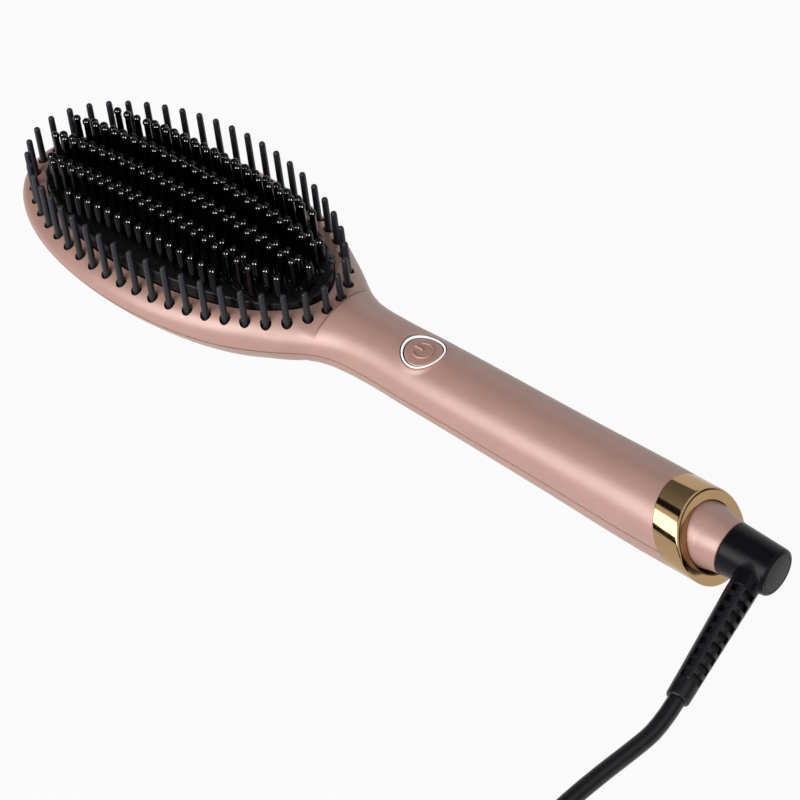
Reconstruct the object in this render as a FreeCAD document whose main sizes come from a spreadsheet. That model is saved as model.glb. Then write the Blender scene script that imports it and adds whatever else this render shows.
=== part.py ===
import FreeCAD, Part
import math
import os
import re
import Sketcher
from FreeCAD import Placement, Rotation, Vector

# Heated styling brush lying on its back: +X runs from the head to the cord end, +Z is the bristle side.
# Sizes in millimetres and degrees.
SIZES = {
    # Casing
    "overall_length": 312.0,
    "rim_width": 9.5,
    "wall": 1.8,
    "parting_height": 15.2,
    "face_radius": 833.0,
    "face_height": 26.6,
    "face_apex_offset": 30.0,
    # Side of the head: height of each level and how far it lies inside the widest outline
    "base_inset": 14.0,
    "lower_level": 4.0,
    "lower_inset": 7.0,
    "middle_level": 10.0,
    "middle_inset": 2.4,
    "belt_level": 16.0,
    "upper_level": 22.0,
    "upper_inset": 0.6,
    "top_level": 29.0,
    "top_inset": 2.6,
    # Neck and handle: half widths, half heights and how far each section's middle lies above the end's
    "root_reach": 34.0,
    "root_half_width": 27.0,
    "root_half_height": 10.4,
    "root_raise": 1.2,
    "shoulder_reach": 11.6,
    "shoulder_half_width": 20.3,
    "shoulder_raise": 1.4,
    "throat_reach": 2.4,
    "throat_half_width": 13.9,
    "throat_raise": 1.7,
    "neck_reach": 13.4,
    "neck_half_width": 12.4,
    "neck_half_height": 10.7,
    "neck_raise": 1.9,
    "button_reach": 32.6,
    "thumb_half_width": 12.9,
    "thumb_half_height": 10.9,
    "grip_half_width": 13.4,
    "grip_half_height": 12.6,
    "grip_raise": 0.8,
    "end_radius": 14.1,
    # End band, nose and swivel
    "ring_setback": 27.0,
    "ring_band": 8.5,
    "ring_slant": 25.8,
    "ring_play": 0.1,
    "nose_root_radius": 10.3,
    "nose_lip_radius": 10.1,
    "nose_waist_radius": 9.1,
    "nose_end_radius": 8.5,
    "nose_reach": 7.0,
    "nose_tail": 25.0,
    "nose_flange": 3.0,
    "nose_flange_radius": 11.4,
    "nose_bore": 6.6,
    "bush_play": 0.1,
    "bush_length": 28.0,
    "spindle_radius": 4.9,
    "spindle_bore": 2.6,
    "spindle_play": 0.1,
    "spindle_length": 51.0,
    "joint_gap": 0.3,
    "connector_end_radius": 7.7,
    "connector_edge": 1.2,
    "cap_radius": 6.1,
    "cap_thickness": 1.3,
    "cap_play": 0.1,
    "clip_radius": 6.4,
    "clip_thickness": 1.0,
    "clip_groove": 0.9,
    "slip_ring_radius": 6.3,
    "slip_ring_width": 2.6,
    "slip_ring_pitch": 6.0,
    "brush_gap": 0.3,
    "brush_thickness": 0.6,
    # Strain relief, cord, coil and plug
    "stem_setback": 11.2,
    "stem_lift": 1.5,
    "stem_radius": 4.3,
    "stem_reach": 11.5,
    "relief_length": 40.0,
    "relief_radius": 3.75,
    "relief_end_radius": 3.25,
    "relief_rake": 9.0,
    "relief_droop": 12.2,
    "relief_slots": 9,
    "relief_slot_width": 1.5,
    "relief_slot_depth": 1.0,
    "cord_diameter": 5.0,
    "coil_pitch": 5.6,
    "coil_inner_radius": 18.4,
    "coil_half_turns": 6,
    "plug_lead": 2.0,
    "tie_width": 8.0,
    "tie_thickness": 0.8,
    "tie_play": 0.3,
    "plug_length": 36.0,
    "plug_width": 26.0,
    "plug_tail_width": 9.0,
    "plug_thickness": 11.0,
    "plug_pin_radius": 2.0,
    "plug_pin_length": 19.0,
    "plug_pin_spacing": 18.6,
    # Heated plate and bristles
    "plate_half_length": 60.3,
    "plate_half_width": 27.0,
    "plate_bottom": 17.0,
    "plate_play": 0.4,
    "plate_wall": 6.0,
    "dome_height": 33.6,
    "dome_length_radius": 282.0,
    "dome_cross_radius": 95.0,
    "dome_offset": 4.0,
    "bristle_pitch": 4.62,
    "row_pitch": 5.115,
    "bristle_margin": 3.5,
    "heated_pin_radius": 1.5,
    "heated_pin_height": 8.9,
    "ball_stem_radius": 1.1,
    "ball_radius": 1.4,
    "ball_pin_height": 13.2,
    "strip_width": 3.0,
    "strip_depth": 1.3,
    "strip_play": 0.1,
    "outer_offset": 4.8,
    "outer_count": 46,
    "outer_pin_radius": 1.1,
    "outer_hole_radius": 1.9,
    "hole_run": 4.0,
    "outer_tip_height": 40.8,
    "outer_tip_radius": 412.0,
    "frame_ring_thickness": 1.6,
    "frame_ring_inner": 2.2,
    "frame_ring_outer": 5.7,
    "frame_ring_play": 0.2,
    "outlet_radius": 1.6,
    "outlet_play": 0.1,
    "outlet_reach": 7.5,
    "outlet_side": 12.8,
    # Heater stack under the plate
    "pocket_height": 20.6,
    "heater_length": 40.0,
    "heater_width": 13.0,
    "heater_thickness": 1.6,
    "heater_gap": 4.0,
    "tab_width": 1.6,
    "tab_thickness": 0.8,
    "lead_spacing": 3.0,
    "lead_radius": 0.8,
    "sensor_lead_radius": 0.5,
    "mica_thickness": 0.6,
    "clamp_thickness": 1.2,
    "clamp_play": 1.2,
    "shield_height": 11.5,
    "shield_thickness": 0.8,
    "shield_inset": 3.5,
    "stack_screw_x": 34.0,
    "stack_screw_y": 13.0,
    "stack_screw_radius": 1.15,
    "stack_screw_grip": 4.0,
    "screw_play": 0.1,
    "screw_head_height": 1.4,
    "screw_head_radius": 2.3,
    "spacer_radius": 2.6,
    "post_radius": 3.0,
    "post_x": 20.0,
    "post_y": 13.0,
    "thermistor_radius": 1.2,
    "thermistor_length": 5.0,
    "fuse_radius": 1.6,
    "fuse_length": 9.0,
    "seat_play": 0.1,
    # Button, switch and board
    "button_radius": 5.75,
    "button_sink": 0.7,
    "button_floor": 22.2,
    "button_stem_radius": 1.6,
    "button_play": 0.3,
    "button_travel": 0.6,
    "light_ring_width": 1.1,
    "light_ring_sink": 0.2,
    "light_ring_foot": 1.0,
    "light_ring_flange": 0.5,
    "light_ring_drop": 21.0,
    "lip_width": 1.2,
    "lip_rise": 0.5,
    "board_length": 78.0,
    "board_width": 14.0,
    "board_thickness": 1.4,
    "board_lead": 12.0,
    "board_post_radius": 2.6,
    "board_post_inset": 4.0,
    "board_screw_radius": 1.1,
    "board_screw_depth": 6.0,
    "switch_side": 6.0,
    "switch_height": 3.6,
    "switch_bore_depth": 2.0,
    "plunger_radius": 1.4,
    "led_side": 1.6,
    "led_height": 1.2,
    "capacitor_length": 13.0,
    "capacitor_width": 6.0,
    "capacitor_height": 6.0,
    "triac_length": 10.0,
    "triac_width": 4.4,
    "triac_height": 5.0,
    "buzzer_radius": 4.5,
    "buzzer_height": 3.0,
    "ioniser_length": 26.0,
    "ioniser_width": 11.0,
    "ioniser_height": 6.4,
    "block_width": 11.0,
    "block_height": 2.4,
    "block_floor": 4.6,
}

# Route of the free cord after its first run out of the strain relief: steps from the relief's end in X and
# in Y, and whether the point already lies at the coil's height.
CORD_STEPS = (
    (0.6, -21.0, False),
    (-1.0, -33.0, False),
    (-2.4, -46.0, False),
    (-2.9, -60.0, False),
    (-2.4, -70.0, True),
    (-2.4, -78.0, True),
)
CORD_FIRST_RUN = 10.5
ARC_SHARE = 0.45
SLOT_STAGGER = 0.25
NOSE_WAIST_SHARE = 0.6
GAP_SPACING = 3.0
GAP_SKIP = 8
FAR = 400.0
RING_POINTS = 16
HANDLE_SECTIONS = 20

doc = FreeCAD.newDocument("styling_brush")
sheet = doc.addObject("Spreadsheet::Sheet", "sizes")
for row, (alias, value) in enumerate(SIZES.items(), start=1):
    sheet.set("A%d" % row, alias)
    sheet.set("B%d" % row, repr(value))
    sheet.setAlias("B%d" % row, alias)
doc.recompute()
ALIAS = re.compile(r"\b(" + "|".join(SIZES) + r")\b")


def size(alias):
    """Value of one driving size."""
    return float(sheet.get(alias))


def tie(item, **links):
    """Bind properties to formulas of the driving sizes; two underscores stand for a dot."""
    for path, formula in links.items():
        item.setExpression(path.replace("__", "."), ALIAS.sub(r"sizes.\1", str(formula)))
    return item


def place(item, x="0", y="0", z="0"):
    """Bind an item's place to formulas."""
    return tie(item, Placement__Base__x=x, Placement__Base__y=y, Placement__Base__z=z)


def box(name, length, width, height, x, z, y="0"):
    """Block that starts at x and z and is centred on y."""
    item = tie(doc.addObject("Part::Box", name), Length=length, Width=width, Height=height)
    return place(item, x, "(%s) - (%s) / 2" % (y, width), z)


TURN = {"x": Rotation(Vector(0, 1, 0), 90), "y": Rotation(Vector(1, 0, 0), -90), "z": Rotation()}


def rod(name, radius, length, x, y, z, along="z"):
    """Cylinder that starts at a point and runs along one axis."""
    item = doc.addObject("Part::Cylinder", name)
    item.Placement = Placement(Vector(), TURN[along])
    tie(item, Radius=radius, Height=length)
    return place(item, x, y, z)


def oval(name, half_length, half_width, low, height):
    """Elliptic prism standing at the middle of the head."""
    outline = doc.addObject("Part::Ellipse", name + "_outline")
    tie(outline, MajorRadius=half_length, MinorRadius=half_width)
    place(outline, HEAD_X, "0", low)
    item = doc.addObject("Part::Extrusion", name)
    item.Base = outline
    item.DirMode = "Custom"
    item.Dir = Vector(0, 0, 1)
    item.Solid = True
    return tie(item, LengthFwd=height)


def coded(name, shape):
    """Object whose shape is worked out from the sheet by code."""
    item = doc.addObject("Part::Feature", name)
    item.Shape = shape
    return item


def fuse(name, *items):
    item = doc.addObject("Part::MultiFuse", name)
    item.Shapes = list(items)
    item.Refine = False
    return item


def common(name, *items):
    item = doc.addObject("Part::MultiCommon", name)
    item.Shapes = list(items)
    item.Refine = False
    return item


def cut(name, base, *tools):
    item = doc.addObject("Part::Cut", name)
    item.Base = base
    item.Tool = tools[0] if len(tools) == 1 else fuse(name + "_tools", *tools)
    item.Refine = False
    return item


def group(name, *items):
    """Several separate solids in one node."""
    item = doc.addObject("Part::Compound", name)
    item.Links = list(items)
    return item


def outline_sketch(body, name, plane, corners):
    """Closed outline on one of a body's planes, each corner bound to a pair of formulas."""
    sketch = body.newObject("Sketcher::SketchObject", name)
    support = [feature for feature in body.Origin.OriginFeatures if feature.Role == plane][0]
    sketch.AttachmentSupport = [(support, "")]
    sketch.MapMode = "FlatFace"
    spots = [Vector(number(u), number(v), 0) for u, v in corners]
    count = len(spots)
    for index in range(count):
        sketch.addGeometry(Part.LineSegment(spots[index], spots[(index + 1) % count]))
    for index in range(count):
        sketch.addConstraint(Sketcher.Constraint("Coincident", index, 2, (index + 1) % count, 1))
    for index, pair in enumerate(corners):
        for kind, formula, start in zip(("DistanceX", "DistanceY"), pair, (spots[index].x, spots[index].y)):
            slot = sketch.addConstraint(Sketcher.Constraint(kind, -1, 1, index, 1, start))
            tie(sketch, **{"Constraints[%d]" % slot: formula})
    return sketch


def number(formula):
    """Present value of a formula of the driving sizes."""
    return float(sheet.evalExpression(ALIAS.sub(r"\1", str(formula))))


def turned(name, corners):
    """Body of revolution about the handle's axis from corners of (x, radius)."""
    body = doc.addObject("PartDesign::Body", name)
    sketch = outline_sketch(body, name + "_outline", "XZ_Plane", corners)
    turning = body.newObject("PartDesign::Revolution", name + "_turning")
    turning.Profile = sketch
    turning.ReferenceAxis = (sketch, ["H_Axis"])
    turning.Angle = 360
    return place(body, z=AXIS_Z)


# Places that several pieces share
HEAD_HALF_LENGTH = "(plate_half_length + rim_width)"
HEAD_HALF_WIDTH = "(plate_half_width + rim_width)"
END_X = "(overall_length / 2)"
HEAD_X = "(%s - %s)" % (HEAD_HALF_LENGTH, END_X)
HEAD_END_X = "(%s + %s)" % (HEAD_X, HEAD_HALF_LENGTH)
BUTTON_X = "(%s + button_reach)" % HEAD_END_X
AXIS_Z = "(end_radius)"
RING_X = "(%s - ring_setback)" % END_X
NOSE_END_X = "(%s + nose_reach)" % RING_X
NOSE_TAIL_X = "(%s - nose_tail)" % RING_X
BOARD_X = "(%s - board_lead)" % BUTTON_X
BOARD_TOP = "(parting_height + board_thickness)"
CONNECTOR_X = "(%s + joint_gap)" % NOSE_END_X
SPINDLE_X = "(%s - spindle_length)" % CONNECTOR_X


def ring_wire(middle, across, up):
    """Closed smooth curve through evenly spaced points of an ellipse."""
    angles = [2 * math.pi * index / RING_POINTS for index in range(RING_POINTS)]
    points = [middle + across * math.cos(angle) + up * math.sin(angle) for angle in angles]
    curve = Part.BSplineCurve()
    places = [float(index) for index in range(RING_POINTS + 1)]
    curve.interpolate(points, PeriodicFlag=True, Parameters=places)
    return Part.Wire(curve.toShape())


def head_solid(grow):
    """Head without its face cut: elliptic sections stacked upward, grown or shrunk sideways."""
    levels = [(0.0, size("base_inset"))]
    levels += [(size(part + "_level"), size(part + "_inset")) for part in ("lower", "middle")]
    levels.append((size("belt_level"), 0.0))
    levels += [(size(part + "_level"), size(part + "_inset")) for part in ("upper", "top")]
    wires = []
    for height, inset in levels:
        length = number(HEAD_HALF_LENGTH) - inset + grow
        width = number(HEAD_HALF_WIDTH) - inset + grow
        wires.append(ring_wire(Vector(number(HEAD_X), 0, height), Vector(length, 0, 0), Vector(0, width, 0)))
    return Part.makeLoft(wires, True, False)


def steady_curve(keys, column, x):
    """Smooth value at x between key sections that never overshoots them."""
    places = [key[0] for key in keys]
    values = [key[column] for key in keys]
    rates = [(values[i + 1] - values[i]) / (places[i + 1] - places[i]) for i in range(len(keys) - 1)]
    slopes = [rates[0]]
    for before, after in zip(rates, rates[1:]):
        slopes.append(0.0 if before * after <= 0 else 2 * before * after / (before + after))
    slopes.append(rates[-1])
    left = max(i for i in range(len(keys) - 1) if places[i] <= x or i == 0)
    span = places[left + 1] - places[left]
    share = (x - places[left]) / span
    rest = 1 - share
    ends = values[left] * (1 + 2 * share) * rest ** 2 + values[left + 1] * (1 + 2 * rest) * share ** 2
    return ends + span * share * rest * (slopes[left] * rest - slopes[left + 1] * share)


def handle_solid(grow):
    """Neck and handle: elliptic sections along X, grown or shrunk all round."""
    end_x = number(HEAD_END_X)
    button_x = number(BUTTON_X)
    ring_x = number(RING_X)
    root_height = size("root_half_height")
    keys = (
        (end_x - size("root_reach"), size("root_half_width"), root_height, size("root_raise")),
        (end_x - size("shoulder_reach"), size("shoulder_half_width"), root_height, size("shoulder_raise")),
        (end_x + size("throat_reach"), size("throat_half_width"), root_height, size("throat_raise")),
        (end_x + size("neck_reach"), size("neck_half_width"), size("neck_half_height"), size("neck_raise")),
        (button_x, size("thumb_half_width"), size("thumb_half_height"), size("neck_raise")),
        ((button_x + ring_x) / 2, size("grip_half_width"), size("grip_half_height"), size("grip_raise")),
        (ring_x - 2 * size("ring_band"), size("end_radius"), size("end_radius"), 0.0),
        (ring_x + size("end_radius"), size("end_radius"), size("end_radius"), 0.0),
    )
    wires = []
    for index in range(HANDLE_SECTIONS + 1):
        x = keys[0][0] + (keys[-1][0] - keys[0][0]) * index / HANDLE_SECTIONS
        half_width, half_height, lift = [steady_curve(keys, column, x) for column in (1, 2, 3)]
        middle = Vector(x, 0, size("end_radius") + lift)
        wires.append(ring_wire(middle, Vector(0, half_width + grow, 0), Vector(0, 0, half_height + grow)))
    return Part.makeLoft(wires, True, False)


def face_drum(name, sink):
    """Large drum whose top is the head's slightly arched face, or a face sunk below it."""
    return rod(name, "face_radius - (%s)" % sink, FAR, "%s + face_apex_offset" % HEAD_X, -FAR / 2,
               "face_height - face_radius", "y")


def dome(name, sink):
    """Large torus whose top is the plate's crown, or a crown sunk below it."""
    item = doc.addObject("Part::Torus", name)
    item.Placement = Placement(Vector(), Rotation(Vector(1, 0, 0), 90))
    tie(item, Radius1="dome_length_radius - dome_cross_radius", Radius2="dome_cross_radius - (%s)" % sink)
    return place(item, "%s + dome_offset" % HEAD_X, "0", "dome_height - dome_length_radius")


def dome_drop(x, y):
    """How far the crown lies below its highest point."""
    along = x - number(HEAD_X) - size("dome_offset")
    return along ** 2 / (2 * size("dome_length_radius")) + y ** 2 / (2 * size("dome_cross_radius"))


def slanted(name, start, length):
    """Block behind the end band's slanted plane, from start to start + length along the plane's normal."""
    item = doc.addObject("Part::Box", name)
    tie(item, Length=length, Width=FAR, Height=FAR)
    tilt = Rotation(Vector(0, 1, 0), -size("ring_slant"))
    corner = tilt.multVec(Vector(number(start), -FAR / 2, -FAR / 2))
    item.Placement = Placement(Vector(number(RING_X), 0, number(AXIS_Z)) + corner, tilt)
    return item


def pin(x, y, low, high, radius, ball=0.0):
    """Upright pin with a domed tip, or with a ball on its tip."""
    top = high - max(radius, ball)
    start = Vector(x, y, low)
    side = Vector(x + radius, y, low)
    if ball:
        neck = top - math.sqrt(ball ** 2 - radius ** 2)
        bend = Vector(x + ball, y, top)
    else:
        neck = top
        bend = Vector(x + radius * math.sqrt(0.5), y, top + radius * math.sqrt(0.5))
    shoulder = Vector(x + radius, y, neck)
    tip = Vector(x, y, high)
    edges = [Part.makeLine(start, side), Part.makeLine(side, shoulder),
             Part.Arc(shoulder, bend, tip).toShape(), Part.makeLine(tip, start)]
    return Part.Face(Part.Wire(edges)).revolve(start, Vector(0, 0, 1), 360)


def row_places(y, staggered):
    """X of each pin of a row that fits on the plate, at the pin pitch and centred on the head."""
    share = 1 - (y / size("plate_half_width")) ** 2
    reach = size("plate_half_length") * math.sqrt(share) - size("bristle_margin")
    pitch = size("bristle_pitch")
    if staggered:
        count = 2 * int(reach / pitch + 0.5)
    else:
        count = 2 * int(reach / pitch) + 1
    first = number(HEAD_X) - pitch * (count - 1) / 2
    return [first + pitch * index for index in range(count)]


def outer_places():
    """Evenly spaced points on the oval of outer pins, two of them astride each end."""
    length = size("plate_half_length") + size("outer_offset")
    width = size("plate_half_width") + size("outer_offset")
    oval_edge = Part.Ellipse(Vector(), length, width).toShape()
    count = int(size("outer_count"))
    step = oval_edge.Length / count
    spots = []
    for index in range(count):
        along = oval_edge.getParameterByLength(step * (index + 0.5))
        spot = oval_edge.valueAt(along)
        spots.append(Vector(spot.x + number(HEAD_X), spot.y, 0))
    return spots


nodes = []


def node(item, label):
    """Give a finished piece its name."""
    item.Label = label
    nodes.append(item)
    return item


# Casing
head_outer = common("head_outer", coded("head_form", head_solid(0.0)), face_drum("face", 0))
handle_outer = coded("handle_form", handle_solid(0.0))
casing_outer = fuse("casing_outer", head_outer, handle_outer)
head_inner = common("head_inner", coded("head_hollow", head_solid(-size("wall"))),
                    face_drum("face_inside", "wall"),
                    box("above_floor", FAR, FAR, FAR, -FAR / 2, "wall"))
casing_inner = fuse("casing_inner", head_inner, coded("handle_hollow", handle_solid(-size("wall"))))
casing = cut("casing", casing_outer, casing_inner)
beyond_end = slanted("beyond_end", "-ring_band", FAR)

hole_low = "face_height - 2 * wall - hole_run"
outer_spots = outer_places()
holes = []
for spot in outer_spots:
    foot = Vector(spot.x, spot.y, number(hole_low))
    holes.append(Part.makeCylinder(size("outer_hole_radius"), FAR / 8, foot))
pin_holes = coded("pin_holes", Part.makeCompound(holes))
lip_outer = "(button_radius + button_play + light_ring_width + button_play + lip_width)"
ring_opening = "(button_radius + button_play + light_ring_width + button_play)"
lip = common("lip", rod("lip_post", lip_outer, FAR / 8, BUTTON_X, 0, "button_floor"),
             coded("lip_form", handle_solid(size("lip_rise"))))
lip_ring = cut("lip_ring", lip, coded("lip_hollow", handle_solid(-size("wall"))))
upper_half = common("upper_half", casing, box("above_parting", FAR, FAR, FAR / 8, -FAR / 2, "parting_height"))
front = cut("front_cover_body", fuse("upper_with_lip", upper_half, lip_ring), beyond_end,
            oval("plate_opening", "plate_half_length + plate_play", "plate_half_width + plate_play",
                 "parting_height", FAR / 8),
            rod("button_opening", ring_opening, FAR / 8, BUTTON_X, 0, "parting_height"), pin_holes)
node(front, "front_cover")

lower_half = common("lower_half", casing, box("below_parting", FAR, FAR, "parting_height", -FAR / 2, 0))
post_spots = [(sx, sy) for sx in (-1, 1) for sy in (-1, 1)]
posts = []
for index, (sx, sy) in enumerate(post_spots):
    posts.append(rod("post_%d" % index, "post_radius", "shield_height - wall / 2",
                     "%s + %d * post_x" % (HEAD_X, sx), "%d * post_y" % sy, "wall / 2"))
board_screw_x = ("%s + board_post_inset" % BOARD_X, "%s + board_length - board_post_inset" % BOARD_X)
board_posts = []
board_bores = []
board_screws = []
board_holes = []
for index, x in enumerate(board_screw_x):
    board_posts.append(rod("board_post_%d" % index, "board_post_radius", "parting_height", x, 0, 0))
    board_bores.append(rod("board_bore_%d" % index, "board_screw_radius + screw_play", FAR / 8, x, 0,
                           "parting_height - board_screw_depth - screw_play"))
    board_holes.append(rod("board_hole_%d" % index, "board_screw_radius + screw_play", FAR / 8, x, 0, 0))
    shank = rod("board_shank_%d" % index, "board_screw_radius", "board_screw_depth + board_thickness", x, 0,
                "parting_height - board_screw_depth")
    head = rod("board_head_%d" % index, "screw_head_radius", "screw_head_height", x, 0, BOARD_TOP)
    board_screws.append(fuse("board_screw_%d" % index, shank, head))
board_feet = common("board_feet", fuse("board_posts", *board_posts),
                    coded("handle_middle", handle_solid(-size("wall") / 2)))
rear = cut("rear_cover_body", fuse("lower_with_posts", lower_half, board_feet, *posts), beyond_end,
           *board_bores)
node(rear, "rear_cover")

# End band and nose
band_blank = rod("band_blank", "end_radius", FAR / 4, "%s - %f" % (RING_X, FAR / 8), 0, AXIS_Z, "x")
band_bore = rod("band_bore", "nose_root_radius + ring_play", FAR / 4, "%s - %f" % (RING_X, FAR / 8), 0,
                AXIS_Z, "x")
band_slab = common("band_slab", band_blank, slanted("band_limits", "-ring_band", "ring_band"))
band = cut("end_ring_body", band_slab, band_bore)
node(band, "end_ring")
nose = turned("swivel_nose_body", (
    (NOSE_TAIL_X, "nose_bore"),
    (NOSE_TAIL_X, "nose_flange_radius"),
    ("%s + nose_flange" % NOSE_TAIL_X, "nose_flange_radius"),
    ("%s + nose_flange" % NOSE_TAIL_X, "nose_root_radius"),
    ("%s - nose_reach" % RING_X, "nose_root_radius"),
    (RING_X, "nose_lip_radius"),
    ("%s + %f * nose_reach" % (RING_X, NOSE_WAIST_SHARE), "nose_waist_radius"),
    (NOSE_END_X, "nose_end_radius"),
    (NOSE_END_X, "nose_bore"),
))
node(nose, "swivel_nose")
bush = turned("swivel_bush_body", (
    ("%s - bush_length" % NOSE_END_X, "spindle_radius + spindle_play"),
    ("%s - bush_length" % NOSE_END_X, "nose_bore - bush_play"),
    (NOSE_END_X, "nose_bore - bush_play"),
    (NOSE_END_X, "spindle_radius + spindle_play"),
))
node(bush, "swivel_bush")

# Turning connector
clip_x = "(%s - bush_length - joint_gap - clip_thickness)" % NOSE_END_X
cap_x = "(%s - cap_thickness)" % END_X
revolved = turned("connector_turning", (
    (SPINDLE_X, "spindle_bore"),
    (SPINDLE_X, "spindle_radius"),
    ("%s - cap_play" % clip_x, "spindle_radius"),
    ("%s - cap_play" % clip_x, "spindle_radius - clip_groove"),
    ("%s + clip_thickness + cap_play" % clip_x, "spindle_radius - clip_groove"),
    ("%s + clip_thickness + cap_play" % clip_x, "spindle_radius"),
    (CONNECTOR_X, "spindle_radius"),
    (CONNECTOR_X, "nose_end_radius"),
    ("%s - connector_edge" % END_X, "connector_end_radius"),
    (END_X, "connector_end_radius - connector_edge"),
    (END_X, "cap_radius + cap_play"),
    (cap_x, "cap_radius + cap_play"),
    (cap_x, "spindle_bore"),
))
stem_root = Vector(number(END_X) - size("stem_setback"), 0, number(AXIS_Z) + size("stem_lift"))
rake = math.radians(size("relief_rake"))
droop = math.radians(size("relief_droop"))
out = Vector(math.sin(rake) * math.cos(droop), -math.cos(rake) * math.cos(droop), -math.sin(droop))
lean = Rotation(Vector(0, 0, 1), out)
stem = tie(doc.addObject("Part::Cylinder", "stem"), Radius="stem_radius", Height="stem_reach - spindle_bore")
stem.Placement = Placement(stem_root + out * size("spindle_bore"), lean)
node(fuse("connector_fused", revolved, stem), "connector_body")
node(rod("cap_disc", "cap_radius", "cap_thickness", cap_x, 0, AXIS_Z, "x"), "connector_cap")
clip = turned("retaining_clip_body", (
    (clip_x, "spindle_radius - clip_groove + cap_play"),
    (clip_x, "clip_radius"),
    ("%s + clip_thickness" % clip_x, "clip_radius"),
    ("%s + clip_thickness" % clip_x, "spindle_radius - clip_groove + cap_play"),
))
node(clip, "retaining_clip")
swivel_wires = []
for index, side in enumerate((-1, 1)):
    swivel_wires.append(rod("swivel_wire_%d" % index, "lead_radius", "spindle_length + cap_thickness",
                            SPINDLE_X, "%d * (lead_radius + seat_play)" % side, AXIS_Z, "x"))
node(group("swivel_wire_pair", *swivel_wires), "swivel_leads")

# Contacts of the swivel: rings on the spindle, springs on a block in the handle
block_x = "(%s + joint_gap)" % SPINDLE_X
block = box("contact_block_body", "2 * slip_ring_pitch + slip_ring_width", "block_width", "block_height",
            block_x, "block_floor")
node(block, "contact_block")
for index, pole in enumerate(("live", "neutral")):
    ring_x = "(%s + slip_ring_width + %d * slip_ring_pitch)" % (SPINDLE_X, index)
    slip = turned("slip_ring_%s_body" % pole, (
        (ring_x, "spindle_radius + seat_play"),
        (ring_x, "slip_ring_radius"),
        ("%s + slip_ring_width" % ring_x, "slip_ring_radius"),
        ("%s + slip_ring_width" % ring_x, "spindle_radius + seat_play"),
    ))
    node(slip, "slip_ring_" + pole)
    side = 1 - 2 * index
    upright = box("brush_leaf_%s" % pole, "slip_ring_width", "brush_thickness",
                  "end_radius + slip_ring_width - block_floor - block_height", ring_x,
                  "block_floor + block_height",
                  "%d * (slip_ring_radius + brush_gap + brush_thickness / 2)" % side)
    foot = box("brush_foot_%s" % pole, "slip_ring_width", "slip_ring_radius + brush_gap", "brush_thickness",
               ring_x, "block_floor + block_height", "%d * (slip_ring_radius + brush_gap) / 2" % side)
    node(fuse("contact_brush_%s_body" % pole, upright, foot), "contact_brush_" + pole)

# Strain relief with slots in turn on its two sides
relief_start = stem_root + out * size("stem_reach")
relief_end = relief_start + out * size("relief_length")
sleeve = tie(doc.addObject("Part::Cone", "relief_sleeve"), Radius1="relief_radius",
             Radius2="relief_end_radius", Height="relief_length")
sleeve.Placement = Placement(relief_start, lean)
slot_step = size("relief_length") / (size("relief_slots") + 1)
slots = []
for index in range(int(size("relief_slots"))):
    for side in (-1, 1):
        along = slot_step * (index + 0.5 + SLOT_STAGGER * side)
        width = size("relief_slot_width")
        depth = size("relief_slot_depth")
        reach = size("relief_radius") * 2
        corner = Vector(size("relief_end_radius") - depth, -reach / 2, along)
        slot = Part.makeBox(depth + reach, reach, width, corner)
        if side < 0:
            slot.rotate(Vector(), Vector(0, 0, 1), 180)
        slots.append(slot.transformGeometry(Placement(relief_start, lean).toMatrix()))
relief = cut("strain_relief_body", sleeve, coded("relief_slots_cut", Part.makeCompound(slots)))
node(relief, "strain_relief")


# Cord, coil, tie and plug
def unit(vector):
    return Vector(vector).normalize()


def tube(path, radius, heading):
    """Round tube along a path that starts in a given direction."""
    start = path.OrderedVertexes[0].Point
    ring = Part.Wire(Part.Edge(Part.Circle(start, heading, radius)))
    return path.makePipeShell([ring], True, False)


def rounded_route(points):
    """Straight runs joined by tangent arcs, each as large as the runs beside it allow."""
    edges = []
    radii = []
    last = points[0]
    for before, corner, after in zip(points, points[1:], points[2:]):
        arrive = unit(corner - before)
        leave = unit(after - corner)
        half = arrive.getAngle(leave) / 2
        setback = ARC_SHARE * min(before.distanceToPoint(corner), corner.distanceToPoint(after))
        radius = setback / math.tan(half)
        radii.append(radius)
        first = corner - arrive * setback
        second = corner + leave * setback
        inward = unit(leave - arrive)
        middle = corner + inward * (radius / math.cos(half) - radius)
        edges.append(Part.LineSegment(last, first).toShape())
        edges.append(Part.Arc(first, middle, second).toShape())
        last = second
    edges.append(Part.LineSegment(last, points[-1]).toShape())
    return Part.Wire(edges), radii


def arc_from(start, heading, finish):
    """Arc that leaves a point in a direction and ends at another point."""
    chord = finish - start
    turn = heading.getAngle(chord)
    if turn < 1e-5:
        return Part.LineSegment(start, finish).toShape()
    bulge = unit(heading - chord * (heading.dot(chord) / chord.dot(chord)))
    middle = (start + finish) * 0.5 + bulge * (chord.Length / 2 * math.tan(turn / 2))
    return Part.Arc(start, middle, finish).toShape()


def biarc(start, heading, finish, arrival):
    """Two arcs that join two points and two directions smoothly."""
    chord = finish - start
    square = 2 * (1 - heading.dot(arrival))
    linear = 2 * chord.dot(heading + arrival)
    if square < 1e-9:
        reach = chord.dot(chord) / linear
    else:
        reach = (math.sqrt(linear ** 2 + 4 * square * chord.dot(chord)) - linear) / (2 * square)
    joint = (start + finish + (heading - arrival) * reach) * 0.5
    first = arc_from(start, heading, joint)
    turned_back = arc_from(finish, arrival * -1, joint)
    return first, Part.Arc(joint, turned_back.valueAt(sum(turned_back.ParameterRange) / 2), finish).toShape()


def ease(share):
    """Smooth step from 0 to 1."""
    share = min(max(share, 0.0), 1.0)
    return share * share * (3 - 2 * share)


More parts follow.
